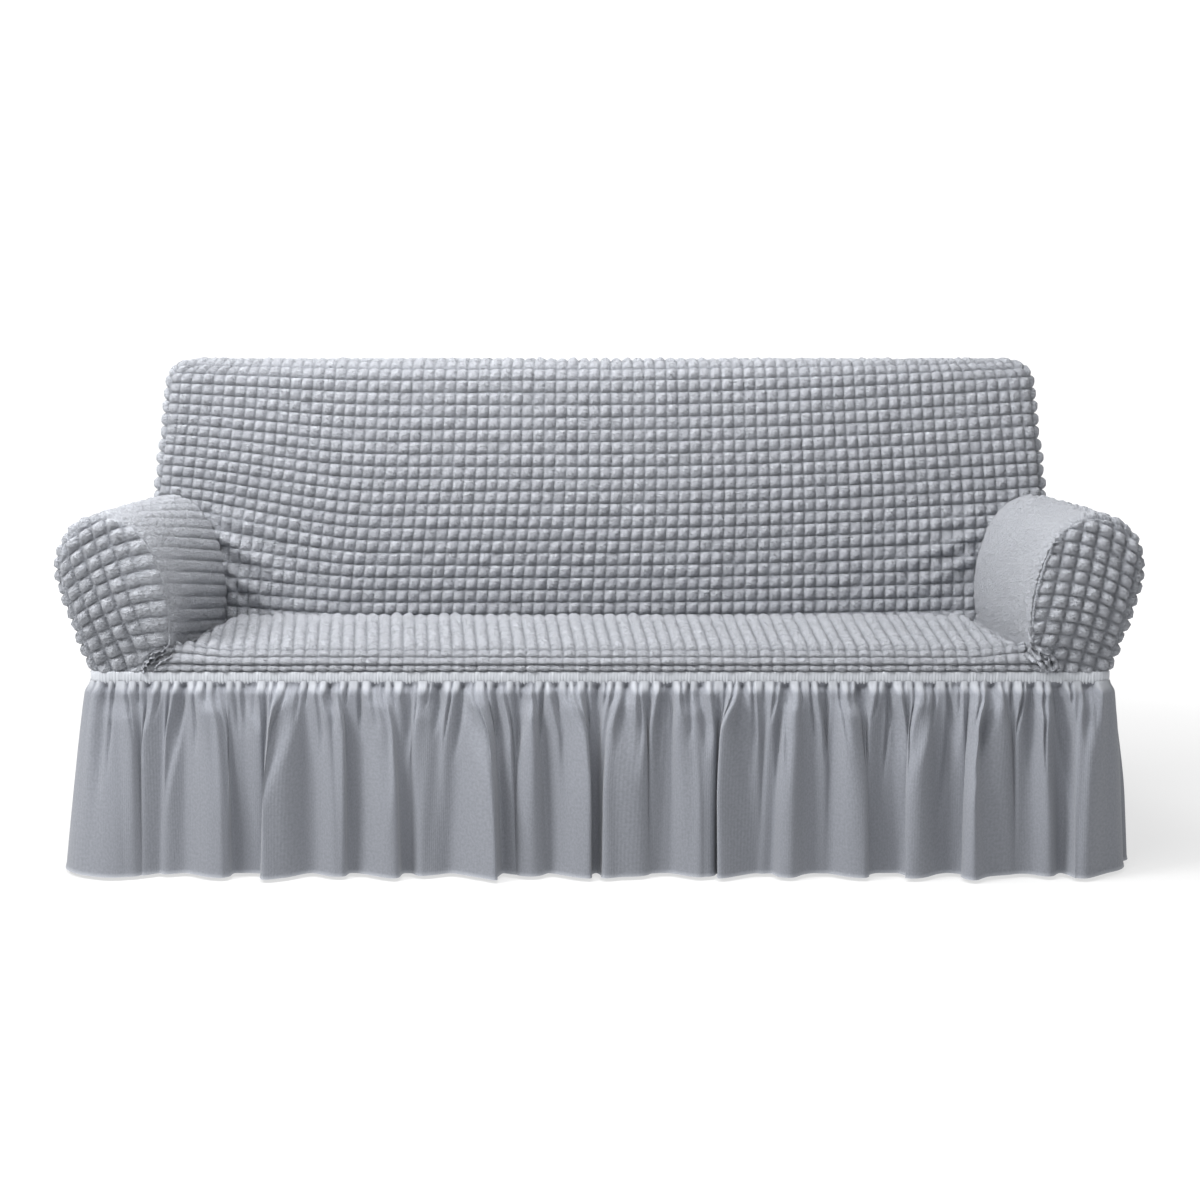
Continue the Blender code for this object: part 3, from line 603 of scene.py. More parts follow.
def shirring_tree():
    """Narrow upright gathers, each a little different, with a ragged lower edge."""
    sizes = {"Height": 0.0010, "Ragged": 0.0038, "Unevenness": 0.9, "Seed": 5}
    graph, given = geometry_tree("shirred elastic", sizes)
    along, up, _ = graph.split(field_of(graph, "cloth"))
    cell = graph.value("ShaderNodeCombineXYZ", {0: graph.math("FLOOR", along)})
    size = (graph.dice(cell, given["Seed"])[0] - 0.5) * given["Unevenness"] + 0.8
    lift = (1.0 - abs(graph.math("FRACT", along) * 2.0 - 1.0) ** 2.0) * size
    swell = graph.math("SINE", up * math.pi)
    height = lift * (swell * 0.5 + 0.5) * given["Height"]
    tooth = lift * given["Ragged"] * -1.0 * graph.stretched(up, 0.45, 0.0, 0.0, 1.0)
    raised = raise_cloth(graph, given["Geometry"], height, lift)
    ragged = moved_by(graph, raised, graph.value("ShaderNodeCombineXYZ", {2: tooth}))
    return end_tree(graph, ragged, given["Finish"])


def hem_tree():
    """Marks the skirt's rolled hem and swells it a little."""
    graph, given = geometry_tree("rolled hem", {"Roll": 0.0012})
    hem = graph.split(field_of(graph, "relief"))[1]
    raised = raise_cloth(graph, given["Geometry"], hem * given["Roll"], hem)
    return end_tree(graph, raised, given["Finish"])


def grown(obj, tree, material, **sizes):
    """The object with the tree's result as its plain mesh."""
    modifier = obj.modifiers.new(tree.name, "NODES")
    modifier.node_group = tree
    names = {item.name: item.identifier for item in tree.interface.items_tree if item.in_out == "INPUT"}
    for label, value in sizes.items():
        modifier[names[label.replace("_", " ")]] = value
    modifier[names["Finish"]] = material
    evaluated = obj.evaluated_get(bpy.context.evaluated_depsgraph_get())
    mesh = bpy.data.meshes.new_from_object(evaluated)
    obj.modifiers.clear()
    obj.data = mesh
    mesh.name = obj.name
    mesh.shade_smooth()
    return obj


# ---------------------------------------------------------------- materials


def new_finish(name, roughness, sheen):
    material = bpy.data.materials.new(name)
    material.use_nodes = True
    shader = material.node_tree.nodes["Principled BSDF"]
    shader.inputs["Roughness"].default_value = roughness
    shader.inputs["Sheen Weight"].default_value = sheen
    shader.inputs["Sheen Roughness"].default_value = 0.6
    shader.inputs["Specular IOR Level"].default_value = 0.2
    return material, Graph(material.node_tree), shader


def finished(material, graph, shader, colour, normal):
    graph.put(shader.inputs["Base Color"], colour)
    graph.put(shader.inputs["Normal"], normal)
    return material


def colour_mix(graph, factor, low, high):
    low, high = (end if isinstance(end, Value) else (*end, 1.0) for end in (low, high))
    return graph.value("ShaderNodeMix", {"Factor": factor, 6: low, 7: high}, 2, data_type="RGBA")


def kept(graph, name, output):
    """What the sheet keeps at each of its points."""
    return graph.value("ShaderNodeAttribute", output=output, attribute_name=name)


def bump(graph, height, distance, strength, under=None):
    sizes = {"Height": height, "Distance": distance, "Strength": strength, "Normal": under}
    return graph.value("ShaderNodeBump", sizes)


def bubble_cloth():
    """Light cool grey seersucker, crinkled all over, over a fine knit, with painted light on its pads
    and painted shade in its grooves and larger crinkles.
    """
    material, graph, shader = new_finish("bubble_cloth", 0.95, 0.20)
    cloth = kept(graph, "cloth", "Vector")
    # painted light and shade: pale on the pads, darker down in the grooves, from how far up its bubble
    # each point lies
    painted_relief_light = graph.stretched(kept(graph, "lift", "Fac"), 0.05, 0.80, 0.0, 1.0)
    colour = colour_mix(graph, painted_relief_light, (0.315, 0.330, 0.365), (0.485, 0.502, 0.545))
    cell = {0: graph.vector("FLOOR", cloth)}
    chance = graph.value("ShaderNodeTexWhiteNoise", cell, "Value", noise_dimensions="3D")
    shade = graph.stretched(chance, 0.0, 1.0, 0.0, 0.20) * painted_relief_light
    colour = colour_mix(graph, shade, colour, (0.58, 0.60, 0.64))
    large = creases_of(graph, cloth, (2.2, 4.4, 1.0), 3.0, 1.4)
    small = creases_of(graph, cloth, (7.0, 12.0, 1.0), 2.0, 1.0)
    # painted shade: darker along the lines of the larger crinkles
    colour = colour_mix(graph, (1.0 - large) * 0.20, colour, (0.21, 0.225, 0.255))
    mottle = graph.stretched(graph.noise(cloth, (1.3, 1.3, 1.0), 5.0), 0.35, 0.65, 0.0, 0.20)
    colour = colour_mix(graph, mottle, colour, (0.33, 0.345, 0.38))
    knit = graph.noise(cloth, (24.0, 24.0, 1.0), 3.0)
    normal = bump(graph, small, 0.0016, 0.9, bump(graph, large, 0.0048, 1.0))
    return finished(material, graph, shader, colour, bump(graph, knit, 0.0010, 0.5, normal))


def shirred_elastic():
    """The band's gathers, with painted light on their crests and painted shade between them."""
    material, graph, shader = new_finish("shirred_elastic", 0.9, 0.2)
    # painted light and shade: paler on the gathers' crests, darker between them
    painted_relief_light = graph.stretched(kept(graph, "lift", "Fac"), 0.0, 0.7, 0.0, 1.0)
    colour = colour_mix(graph, painted_relief_light, (0.455, 0.475, 0.51), (0.51, 0.53, 0.565))
    crinkle = graph.noise(kept(graph, "cloth", "Vector"), (4.0, 1.5, 1.0), 4.0)
    return finished(material, graph, shader, colour, bump(graph, crinkle, 0.002, 0.7))


def ribbed_skirt_cloth():
    """Plain matte cloth with fine upright ribs, a painted highlight on the crests of the gathers just
    under the band, and a paler rolled hem.
    """
    material, graph, shader = new_finish("ribbed_skirt_cloth", 0.95, 0.15)
    cloth = kept(graph, "cloth", "Vector")
    mottle = graph.stretched(graph.noise(cloth, (420.0, 190.0, 1.0), 3.0), 0.30, 0.70, 0.0, 1.0)
    colour = colour_mix(graph, mottle, (0.186, 0.196, 0.221), (0.222, 0.233, 0.260))
    # painted highlight: the crests of the gathers just under the band are painted paler
    painted_crest_highlight = graph.split(kept(graph, "relief", "Vector"))[0]
    colour = colour_mix(graph, painted_crest_highlight, colour, (0.385, 0.40, 0.43))
    colour = colour_mix(graph, kept(graph, "lift", "Fac"), colour, (0.34, 0.355, 0.39))
    ribs = graph.math("SINE", graph.split(cloth)[0] * (2 * math.pi / RIB_PITCH))
    height = ribs * 0.20 + graph.noise(cloth, (300.0, 120.0, 1.0), 3.0)
    return finished(material, graph, shader, colour, bump(graph, height, 0.0007, 0.6))


# ---------------------------------------------------------------- the back


def tapered(points):
    """The back's points drawn in towards its top, where the cloth is stretched most."""
    wide = lerp(BACK_TAPER[0], BACK_TAPER[1], gentle((points[..., 2] - TAPER_FOOT) / TAPER_RUN))
    return points * joined(wide, 1.0, 1.0)


def row_climb(x, level):
    """How far a row of the inside back has climbed from its level in the middle."""
    foot = 0.3 + 0.7 * (level - BACK_FOOT) / (CLIMB_LEVEL - BACK_FOOT)
    left = LEFT_CLIMB * np.minimum(foot, (CLIMB_TOP - level) / (CLIMB_TOP - CLIMB_LEVEL))
    right = RIGHT_CLIMB * np.minimum(np.minimum(foot, 1.0), (CLIMB_TOP - level) / 0.12)
    left, right = np.maximum(left, 0.0), np.maximum(right, 0.0)
    return left * gentle((-x - 0.45) / 0.55) + right * np.clip(x / BACK_HALF, 0.0, 1.0) ** 1.7


def column_drift(x, level):
    """How far a column of the inside back has drifted to the left on its way down."""
    share = gentle((x + BACK_HALF) / 0.25) * gentle((0.65 - x) / 0.95)
    return -COLUMN_DRIFT * share * gentle((0.76 - level) / 0.36)


def inside_back_shape(columns, rows, count, foot_row):
    """Points of the reclined face and the top, at places counted in bubbles across and up."""
    corner_x, corner_z = BACK_HALF - BACK_EDGE, BACK_TOP - BACK_EDGE
    slant = math.sqrt(1 + BACK_LEAN**2)
    bend = BACK_EDGE - seam_inset(BACK_EDGE)
    front, rear = face_y(BACK_TOP), rear_y(BACK_TOP)
    face = (corner_z - BACK_FOOT) * slant
    turn = BACK_EDGE * math.pi / 2
    top = rear - REAR_EDGE - front - BACK_EDGE
    end = REAR_EDGE * math.pi / 4 - SEAM
    reach = (rows - foot_row) * (face + turn + top + end) / (rows.max() - foot_row)
    full = corner_x + bend - SEAM / 2
    x = full * (2 * columns / count - 1)
    level = corner_z + (reach - face) / slant
    reach = reach + slant * row_climb(x, level)
    x = x + column_drift(x, level)
    z = corner_z + np.where(reach < face, (reach - face) / slant, 0.0)
    turned = np.clip((reach - face) / BACK_EDGE, 0.0, math.pi / 2)
    z = z + BACK_EDGE * np.sin(turned)
    over = np.maximum(z - corner_z, 0.0)
    half = corner_x + np.sqrt(np.clip(bend**2 - over**2, 0.0, None)) - SEAM / 2
    outer = np.maximum(np.abs(x) - BACK_FREE, 0.0)
    drawn_in = outer * (half - BACK_FREE) / (full - BACK_FREE)
    x = np.sign(x) * (np.minimum(np.abs(x), BACK_FREE) + drawn_in)
    away = np.minimum(np.hypot(np.maximum(np.abs(x) - corner_x, 0.0), over), BACK_EDGE)
    across_crown = np.maximum(0.0, 1 - (x / BACK_HALF) ** 2)
    up_crown = np.maximum(0.0, 1 - ((z - BACK_CROWN_Z) / BACK_CROWN_REACH) ** 2)
    y = face_y(z) + BACK_EDGE - np.sqrt(BACK_EDGE**2 - away**2) - BACK_CROWN * across_crown * up_crown
    plane = joined(x, z)
    for x0, z0, x1, z1, width, height in BACK_PULLS:
        y = y - height * hump(plane, (x0, z0), (x1, z1), width)
    on_top = reach > face + turn
    flat_y = front + BACK_EDGE + (reach - face - turn)
    past = np.clip((flat_y - (rear - REAR_EDGE)) / REAR_EDGE, 0.0, math.pi / 4)
    top_y = np.minimum(flat_y, rear - REAR_EDGE) + REAR_EDGE * np.sin(past)
    y = np.where(on_top, top_y, y)
    z = np.where(on_top, BACK_TOP - REAR_EDGE * (1 - np.cos(past)), z)
    return tapered(joined(x, y, z))


def inside_arm(points, depth):
    """True where points lie deeper than this inside an arm."""
    x, z = np.abs(points[..., 0]), points[..., 2]
    rising = ARM.points[: np.argmax(ARM.points[:, 1])]
    inner = np.interp(z, rising[:, 1], rising[:, 0])
    return (x > inner) & (z < ARM_TOP) & (ARM.distance(joined(x, z)) > depth)


def inside_back(finish, tree):
    """The reclined face, rounded at its sides and top, and the top as far as the rear seam."""
    rows = bubble_lines(BACK_ROWS + BACK_FOOT_ROWS, ROW_SHARES)
    columns, rows = np.meshgrid(bubble_lines(BACK_COLUMNS, COLUMN_SHARES), rows)
    points = inside_back_shape(columns, rows, BACK_COLUMNS, BACK_FOOT_ROWS)
    keep = (points[..., 2] > BACK_FOOT - FOOT_HIDDEN) & ~inside_arm(points, BACK_HIDDEN)
    beside = gentle((np.abs(points[..., 0]) - 0.70) / 0.14) * gentle((0.66 - points[..., 2]) / 0.10)
    relief = joined(0.85, 1.0, 1.0 - 0.35 * beside)
    obj = make_sheet("inside_back_cloth", points, (columns, rows), relief, BACK_MIDDLE, keep)
    return grown(obj, tree, finish)


def gusset_shape(columns, rows, long, wide):
    """Points of the strip up one side of the back and round its top corner."""
    corner_x, corner_z = BACK_HALF - BACK_EDGE, BACK_TOP - BACK_EDGE
    straight = corner_z - GUSSET_FOOT
    reach = columns / long * (straight + BACK_EDGE * math.pi / 2)
    turn = np.clip((reach - straight) / BACK_EDGE, 0.0, math.pi / 2)
    line_x = corner_x + BACK_EDGE * np.cos(turn)
    line_z = GUSSET_FOOT + np.minimum(reach, straight) + BACK_EDGE * np.sin(turn)
    front, rear = face_y(line_z), rear_y(line_z)
    near, far = BACK_EDGE * math.pi / 4, REAR_EDGE * math.pi / 4
    flat = rear - front - BACK_EDGE - REAR_EDGE
    place = rows / wide * (near + flat + far)
    a = np.clip(math.pi / 4 + place / BACK_EDGE, 0.0, math.pi / 2)
    b = np.clip((place - near - flat) / REAR_EDGE, 0.0, math.pi / 4)
    y = front + BACK_EDGE * (1 - np.cos(a)) + np.clip(place - near, 0.0, flat) + REAR_EDGE * np.sin(b)
    fall = BACK_EDGE * (1 - np.sin(a)) + REAR_EDGE * (1 - np.cos(b))
    x = line_x - fall * np.cos(turn)
    z = line_z - fall * np.sin(turn)
    return tapered(joined(x, y, z))


def back_gusset(finish, tree, name, side):
    long, wide = GUSSET_BUBBLES
    columns, rows = np.meshgrid(bubble_lines(long, ROW_SHARES), bubble_lines(wide, COLUMN_SHARES))
    points = gusset_shape(columns, rows, long, wide)
    keep = ~inside_arm(points, GUSSET_HIDDEN)
    points = points * (side, 1, 1)
    inside = (side * (BACK_HALF - BACK_EDGE), BACK_MIDDLE[1], BACK_TOP - 2 * BACK_EDGE)
    obj = make_sheet(name, points, (rows, columns), np.ones_like(points), inside, keep)
    return grown(obj, tree, finish, Seed=7)


def outside_back_edge():
    """The right edge of the rear panel: up the arm, up the back and round its top corner."""
    inset = seam_inset(REAR_EDGE) + SEAM / 2
    side, bend = BACK_HALF - inset, BACK_EDGE - inset
    arm = arm_point(np.linspace(1.0, 0.5, 120), inset)
    arm = arm[arm[:, 0] > side]
    corner = arc((BACK_HALF - BACK_EDGE, BACK_TOP - BACK_EDGE), bend, 0, 90, 24)
    return Path(np.vstack([arm, [(side, arm[-1, 1] + 0.002)], corner]))


def outside_back(finish, tree):
    """The rear panel, which also closes the rear of both arms."""
    wide, tall = REAR_BUBBLES
    inset = seam_inset(REAR_EDGE) + SEAM / 2
    edge = outside_back_edge()
    columns, rows = np.meshgrid(*(bubble_lines(count, REAR_SHARES) for count in REAR_BUBBLES))
    z = lerp(COVER_FOOT, BACK_TOP - inset, rows / tall)
    half = np.interp(z, edge.points[:, 1], edge.points[:, 0])
    x = half * (2 * columns / wide - 1)
    depth = np.minimum(edge.distance(joined(np.abs(x), z)) + inset, BACK_TOP - z)
    points = tapered(joined(x, rear_y(z) - edge_drop(depth, REAR_EDGE), z))
    relief = np.ones_like(points)
    obj = make_sheet("outside_back_cloth", points, (columns, rows), relief, BACK_MIDDLE)
    return grown(obj, tree, finish, Seed=9)


# ---------------------------------------------------------------- the seat


def seat_profile():
    """The seat's line from the crease behind it, over its front edge, down to the band, as y and z."""
    crease = face_y(SEAT_Z) - SEAT_CREASE
    roll = arc((FRONT_Y + SEAT_ROLL, SEAT_Z - SEAT_ROLL), SEAT_ROLL, 90, 180, 16)
    parts = [
        [(crease, SEAT_Z - SEAT_REAR_TUCK)],
        arc((crease - SEAT_BEND, SEAT_Z - SEAT_BEND), SEAT_BEND, 0, 90, 8),
        roll * (SEAT_NOSE, 1.0) - ((SEAT_NOSE - 1.0) * FRONT_Y, 0.0),
        [(FRONT_Y, COVER_FOOT)],
    ]
    return Path(np.vstack(parts))


def seat_frill(side):
    """The bunched seam between the seat and an arm, fuller towards the front."""
    y = np.linspace(FRONT_Y - 0.004, 0.060, 320)
    near = gentle((FRONT_Y + 0.03 - y) / 0.03)
    x = side * (SEAT_HALF - 0.002 + 0.012 * near)
    z = SEAT_Z - SEAT_SIDE_TUCK + 0.004 + 0.006 * near
    line = joined(x, y, z)
    outward = np.broadcast_to([-0.45 * side, -0.1, 0.9], line.shape)
    across = np.broadcast_to([0.9 * side, 0.0, 0.45], line.shape)
    size = lerp(0.005, 0.010, gentle((FRONT_Y + 0.09 - y) / 0.09))
    return ruffle(line, outward, across, size, 0.35 * size, 61 + side)


def seat(finish, tree):
    """The deck, tucked down at its creases, and the short drop over the front edge."""
    wide, long = SEAT_BUBBLES
    columns, rows = np.meshgrid(bubble_lines(wide, COLUMN_SHARES), bubble_lines(long, ROW_SHARES))
    profile = seat_profile()
    places = [*range(len(SEAT_LINES)), long]
    reach = profile.length - np.interp(long - rows, places, [*SEAT_LINES, profile.length])
    y, z = np.moveaxis(profile.at(reach / profile.length), -1, 0)
    lowered = gentle((SEAT_Z - z) / (SEAT_Z - COVER_FOOT))
    widened = gentle((FRONT_Y + SEAT_WIDENING - y) / SEAT_WIDENING)
    half = lerp(SEAT_HALF, lerp(SEAT_MOUTH_HALF, SEAT_FOOT_HALF, lowered), widened)
    deep = np.clip((y - FRONT_Y - 0.02) / 0.48, 0.0, 1.0)
    wanted = (columns - wide / 2) * lerp(*SEAT_PITCHES, deep) - SEAT_DRIFT * deep
    x = np.clip(wanted, -half - 0.012, half + 0.012)
    keep = np.abs(wanted) < half + 0.03
    y = y + 0.016 * gentle((np.abs(x) - half + 0.002) / 0.012) * gentle((FRONT_Y + 0.05 - y) / 0.04)
    sag = np.sin(math.pi * np.mod(rows, 1.0) ** 1.8) * gentle((FRONT_Y + 0.02 - y) / 0.02)
    on_deck = gentle((y - FRONT_Y - 0.02) / 0.06)
    dip = SEAT_SIDE_TUCK * on_deck * gentle(1 - (half - np.abs(x)) / SEAT_SIDE_DIP)
    beside = gentle((np.abs(x) - SEAT_CORNER_X) / SEAT_CORNER_RUN)
    in_front = gentle(1 - (y - FRONT_Y) / SEAT_CORNER_DEPTH)
    lift = SEAT_CORNER_LIFT * beside * in_front * gentle((z - COVER_FOOT) / SEAT_ROLL)
    points = joined(x, y - 0.0035 * sag, z - dip + lift)
    smooth = gentle((y + 0.10) / 0.14)
    rear = 0.45 * gentle((y - face_y(SEAT_Z) + 0.045) / 0.03)
    rolled = gentle((FRONT_Y + 0.03 - y) / 0.025)
    relief = joined(
        lerp(1.0 - 0.25 * smooth, 0.75, rolled),
        1.0 - 0.80 * smooth,
        lerp(0.9 - 0.40 * smooth + rear, 0.62, rolled),
    )
    frills = [seat_frill(side) for side in (-1, 1)]
    inside = (0.0, 0.0, 0.30)
    obj = make_sheet("seat_cloth", points, (columns, rows), relief, inside, keep, ruffles=frills)
    return grown(obj, tree, finish, Seed=13, Crinkle=0.0032)


# ---------------------------------------------------------------- the arms


def arm_sleeve(finish, tree, name, side):
    """The inner face, top and outer face of an arm: one piece from its front seam to its rear seam."""
    looks = ARM_LOOKS[side]
    slip = looks["slip"]
    around, deep = SLEEVE_BUBBLES
    columns = bubble_lines(around + slip, ROW_SHARES)
    columns, rows = np.meshgrid(columns, bubble_lines(deep, COLUMN_SHARES))
    wanted = (columns - slip * rows / deep) / around
    share = np.clip(wanted, 0.0, 1.0)
    seam = seam_inset(ARM_EDGE) + SEAM / 2
    end = rear_y(ARM.at(share)[..., 1])
    y = lerp(FRONT_Y + seam, end - seam, rows / deep)
    plane = arm_point(share, edge_drop(np.minimum(y - FRONT_Y, end - y), ARM_EDGE))
    points = joined(plane[..., 0], y, plane[..., 1])
    z = points[..., 2]
    hidden = (y > face_y(z) + 0.030) & (points[..., 0] < BACK_HALF - 0.02) & (z < 0.70)
    hidden |= np.abs(wanted - 0.5) > 0.52
    points = points * (side, 1, 1)
    if side > 0:
        relief = joined(1.0, 1.0, 1.0 - 0.93 * gentle((0.54 - share) / 0.12))
    else:
        ribs = lerp(0.15, 0.42, gentle((y - FRONT_Y - 0.03) / 0.26))
        columns_left = 1.0 - 0.9 * gentle((0.40 - share) / 0.10)
        relief = joined(columns_left, 1.0, lerp(1.0, ribs, gentle((0.56 - share) / 0.12)))
    middle = np.array(ARM_MIDDLE) * (side, 1, 1)
    obj = make_sheet(name, points, (rows, columns), relief, middle, ~hidden, looks["turn"])
    return grown(obj, tree, finish, Seed=17 + side, Crinkle=looks["crinkle"])


def arm_front_edge(steps):
    """The inner edge of an arm's front: round its lower corner and up the arm's outline."""
    seam = seam_inset(ARM_EDGE) + SEAM / 2
    inner = arm_point(np.linspace(ARM_FRONT_START, ARM_FRONT_CREST, 60), seam)
    corner = smooth_curve(ARM_FRONT_CORNER + [tuple(inner[0])], steps)
    return Path(np.vstack([corner, inner[1:]]))


def arm_front_frills(side):
    """The seam up the inner edge of an arm's front, and the bunches of cloth at its foot."""
    looks = ARM_LOOKS[side]
    edge = arm_front_edge(12)
    reach = np.linspace(0.0, 1.0, 260)
    plane, away = edge.at(reach), edge.outward(reach) * (side, 1)
    sideways = joined(away[:, 0], 0.0, away[:, 1])
    line = joined(side * plane[:, 0], FRONT_Y - 0.001, plane[:, 1])
    line += 0.0040 * sideways
    low = gentle((0.30 - reach) / 0.16)
    tall = lerp(*looks["seam"], low) * gentle((1 - reach) / 0.05)
    front = np.array([0.0, -1.0, 0.0])
    wave = lerp(*looks["waver"], low)
    frills = [ruffle(line, front + 0.25 * sideways, sideways, tall, wave, 31 + side)]
    bunch = gentle(reach / 0.04) * gentle((0.27 - reach) / 0.10) * looks["bunch"]
    for count in range(1, 4):
        beside = line + (0.0110 * count - 0.014) * sideways
        size = (0.014 + 0.004 * (count % 2)) * bunch
        some = (reach < 0.28) & (size > 0.002)
        way = front + 0.35 * sideways[some]
        fold = (size[some], 0.35 * size[some], 70 + count, *looks["fold"])
        frills.append(ruffle(beside[some], way, sideways[some], *fold))
    return frills


def arm_front(finish, tree, name, side):
    """The puffed panel sewn in the front of an arm."""
    looks = ARM_LOOKS[side]
    seam = seam_inset(ARM_EDGE) + SEAM / 2
    left = arm_front_edge(8)
    right = Path(arm_point(np.linspace(1.0, ARM_FRONT_DESCENT, 90), seam))
    top = Path(arm_point(np.linspace(ARM_FRONT_CREST, ARM_FRONT_DESCENT, 30), seam))
    wide, tall = 110, round((left.length + right.length) / 2 / ARM_FRONT_STEP)
    u, v = np.meshgrid(np.linspace(0, 1, wide + 1), np.linspace(0, 1, tall + 1))
    across_u, up_v = u[..., None], v[..., None]
    foot, head = (lerp(left.at(end), right.at(end), across_u) for end in (0.0, 1.0))
    plane = lerp(foot, top.at(u), up_v) + lerp(left.at(v), right.at(v), across_u)
    plane -= lerp(foot, head, up_v)
    swell = ARM_CROWN * (4 * u * (1 - u)) ** ARM_CROWN_FLATNESS
    swell *= gentle(v / ARM_CROWN_FOOT) * gentle((1 - v) / ARM_CROWN_TOP)
    x, z = plane[..., 0], plane[..., 1]
    y = FRONT_Y + edge_drop(ARM.distance(plane), ARM_EDGE) - swell
    points = joined(side * x, y, z)
    right_of = x - ARM_FRONT_MIDDLE[0]
    cos, sin = math.cos(math.radians(looks["lean"])), math.sin(math.radians(looks["lean"]))
    row = (z * cos + right_of * sin + 2.0 * right_of**2) / (ARM_BUBBLE * looks["rows"]) + 20.0
    column = (right_of * cos - (z - ARM_FRONT_MIDDLE[1]) * sin) / ARM_BUBBLE + 40.0
    rim = np.minimum(np.minimum(u, 1 - u) * wide, (1 - v) * tall) * ARM_FRONT_STEP
    near = 1.0 if side > 0 else gentle(u * 2.3)
    depth = gentle(0.30 + rim / 0.012) * lerp(0.50, 1.0, near)
    relief = joined(lerp(0.15, 1.0, near), 1.0, depth)
    cloth, middle = (side * column, row), np.array(ARM_MIDDLE) * (side, 1, 1)
    frills = arm_front_frills(side)
    obj = make_sheet(name, points, cloth, relief, middle, turn=looks["turn"], ruffles=frills)
    sizes = {"Height": 0.0110, "Crinkle": 0.0024, "Row Grooves": 2.1, "Column Grooves": 1.9}
    return grown(obj, tree, finish, Seed=23 + side, **sizes)


# ---------------------------------------------------------------- band and skirt


def waistband(finish, tree):
    """The ring of shirred elastic between the bubble cloth and the skirt."""
    loop = base_loop(BAND_PROUD)
    gathers = round(loop.length / GATHER)
    columns = bubble_lines(gathers, (0.0, 0.18, 0.5, 0.82))
    columns, rows = np.meshgrid(columns, (0.0, 0.12, 0.35, 0.6, 0.85, 1.0))
    share = columns / gathers
    line, away = loop.at(share), -loop.outward(share)
    tuck = -0.0012 * (2 * np.abs(rows - 0.5)) ** 6
    plane = line + away * tuck[..., None]
    z = lerp(BAND_FOOT, BAND_FOOT + BAND_HEIGHT, rows)
    points = np.concatenate([plane, z[..., None]], axis=-1)
    points[:, -1] = points[:, 0]
    relief, inside = np.ones_like(points), (0.0, 0.0, BAND_FOOT)
    obj = make_sheet("waistband_cloth", points, (columns, rows), relief, inside)
    return grown(obj, tree, finish)


def scattered_folds(length, seed):
    """Rows like those of the front's table, unevenly spread over a run of skirt."""
    dice = random.Random(seed)
    rows = []
    reach = SIDE_FOLD_PITCH * 0.7
    while reach < length - SIDE_FOLD_PITCH * 0.4:
        spread = 1 + SIDE_FOLD_SPREAD * (2 * dice.random() - 1)
        depth = lerp(*SIDE_FOLD_DEPTHS, dice.random())
        share = lerp(*SIDE_FOLD_REACHES, dice.random())
        rows.append((reach, SIDE_FOLD_HALF_WIDTH * spread, depth, share))
        reach += SIDE_FOLD_PITCH * spread
    leans = random.Random(seed + 50)
    return [(*row, leans.choice(SIDE_FOLD_LEANS)) for row in rows]


def pockets_along(length, seed, pitches, widths, depths, deaths):
    """Creases that start at the band and narrow to a point: where, half width, depth, end and drift."""
    dice = random.Random(seed)
    rows = []
    reach = pitches[0] / 2
    while reach < length - pitches[0] / 2:
        drift = 0.24 * (dice.random() - 0.5)
        share = dice.random() ** 1.6
        half, depth = lerp(*widths, dice.random()), lerp(*depths, dice.random())
        rows.append((reach, half, depth, lerp(*deaths, share), drift))
        reach += lerp(*pitches, dice.random())
    return rows


def half_wave(away):
    """A soft ridge: 1 in its middle, and 0 from one half width on."""
    return 0.5 + 0.5 * np.cos(math.pi * np.clip(away, -1.0, 1.0))


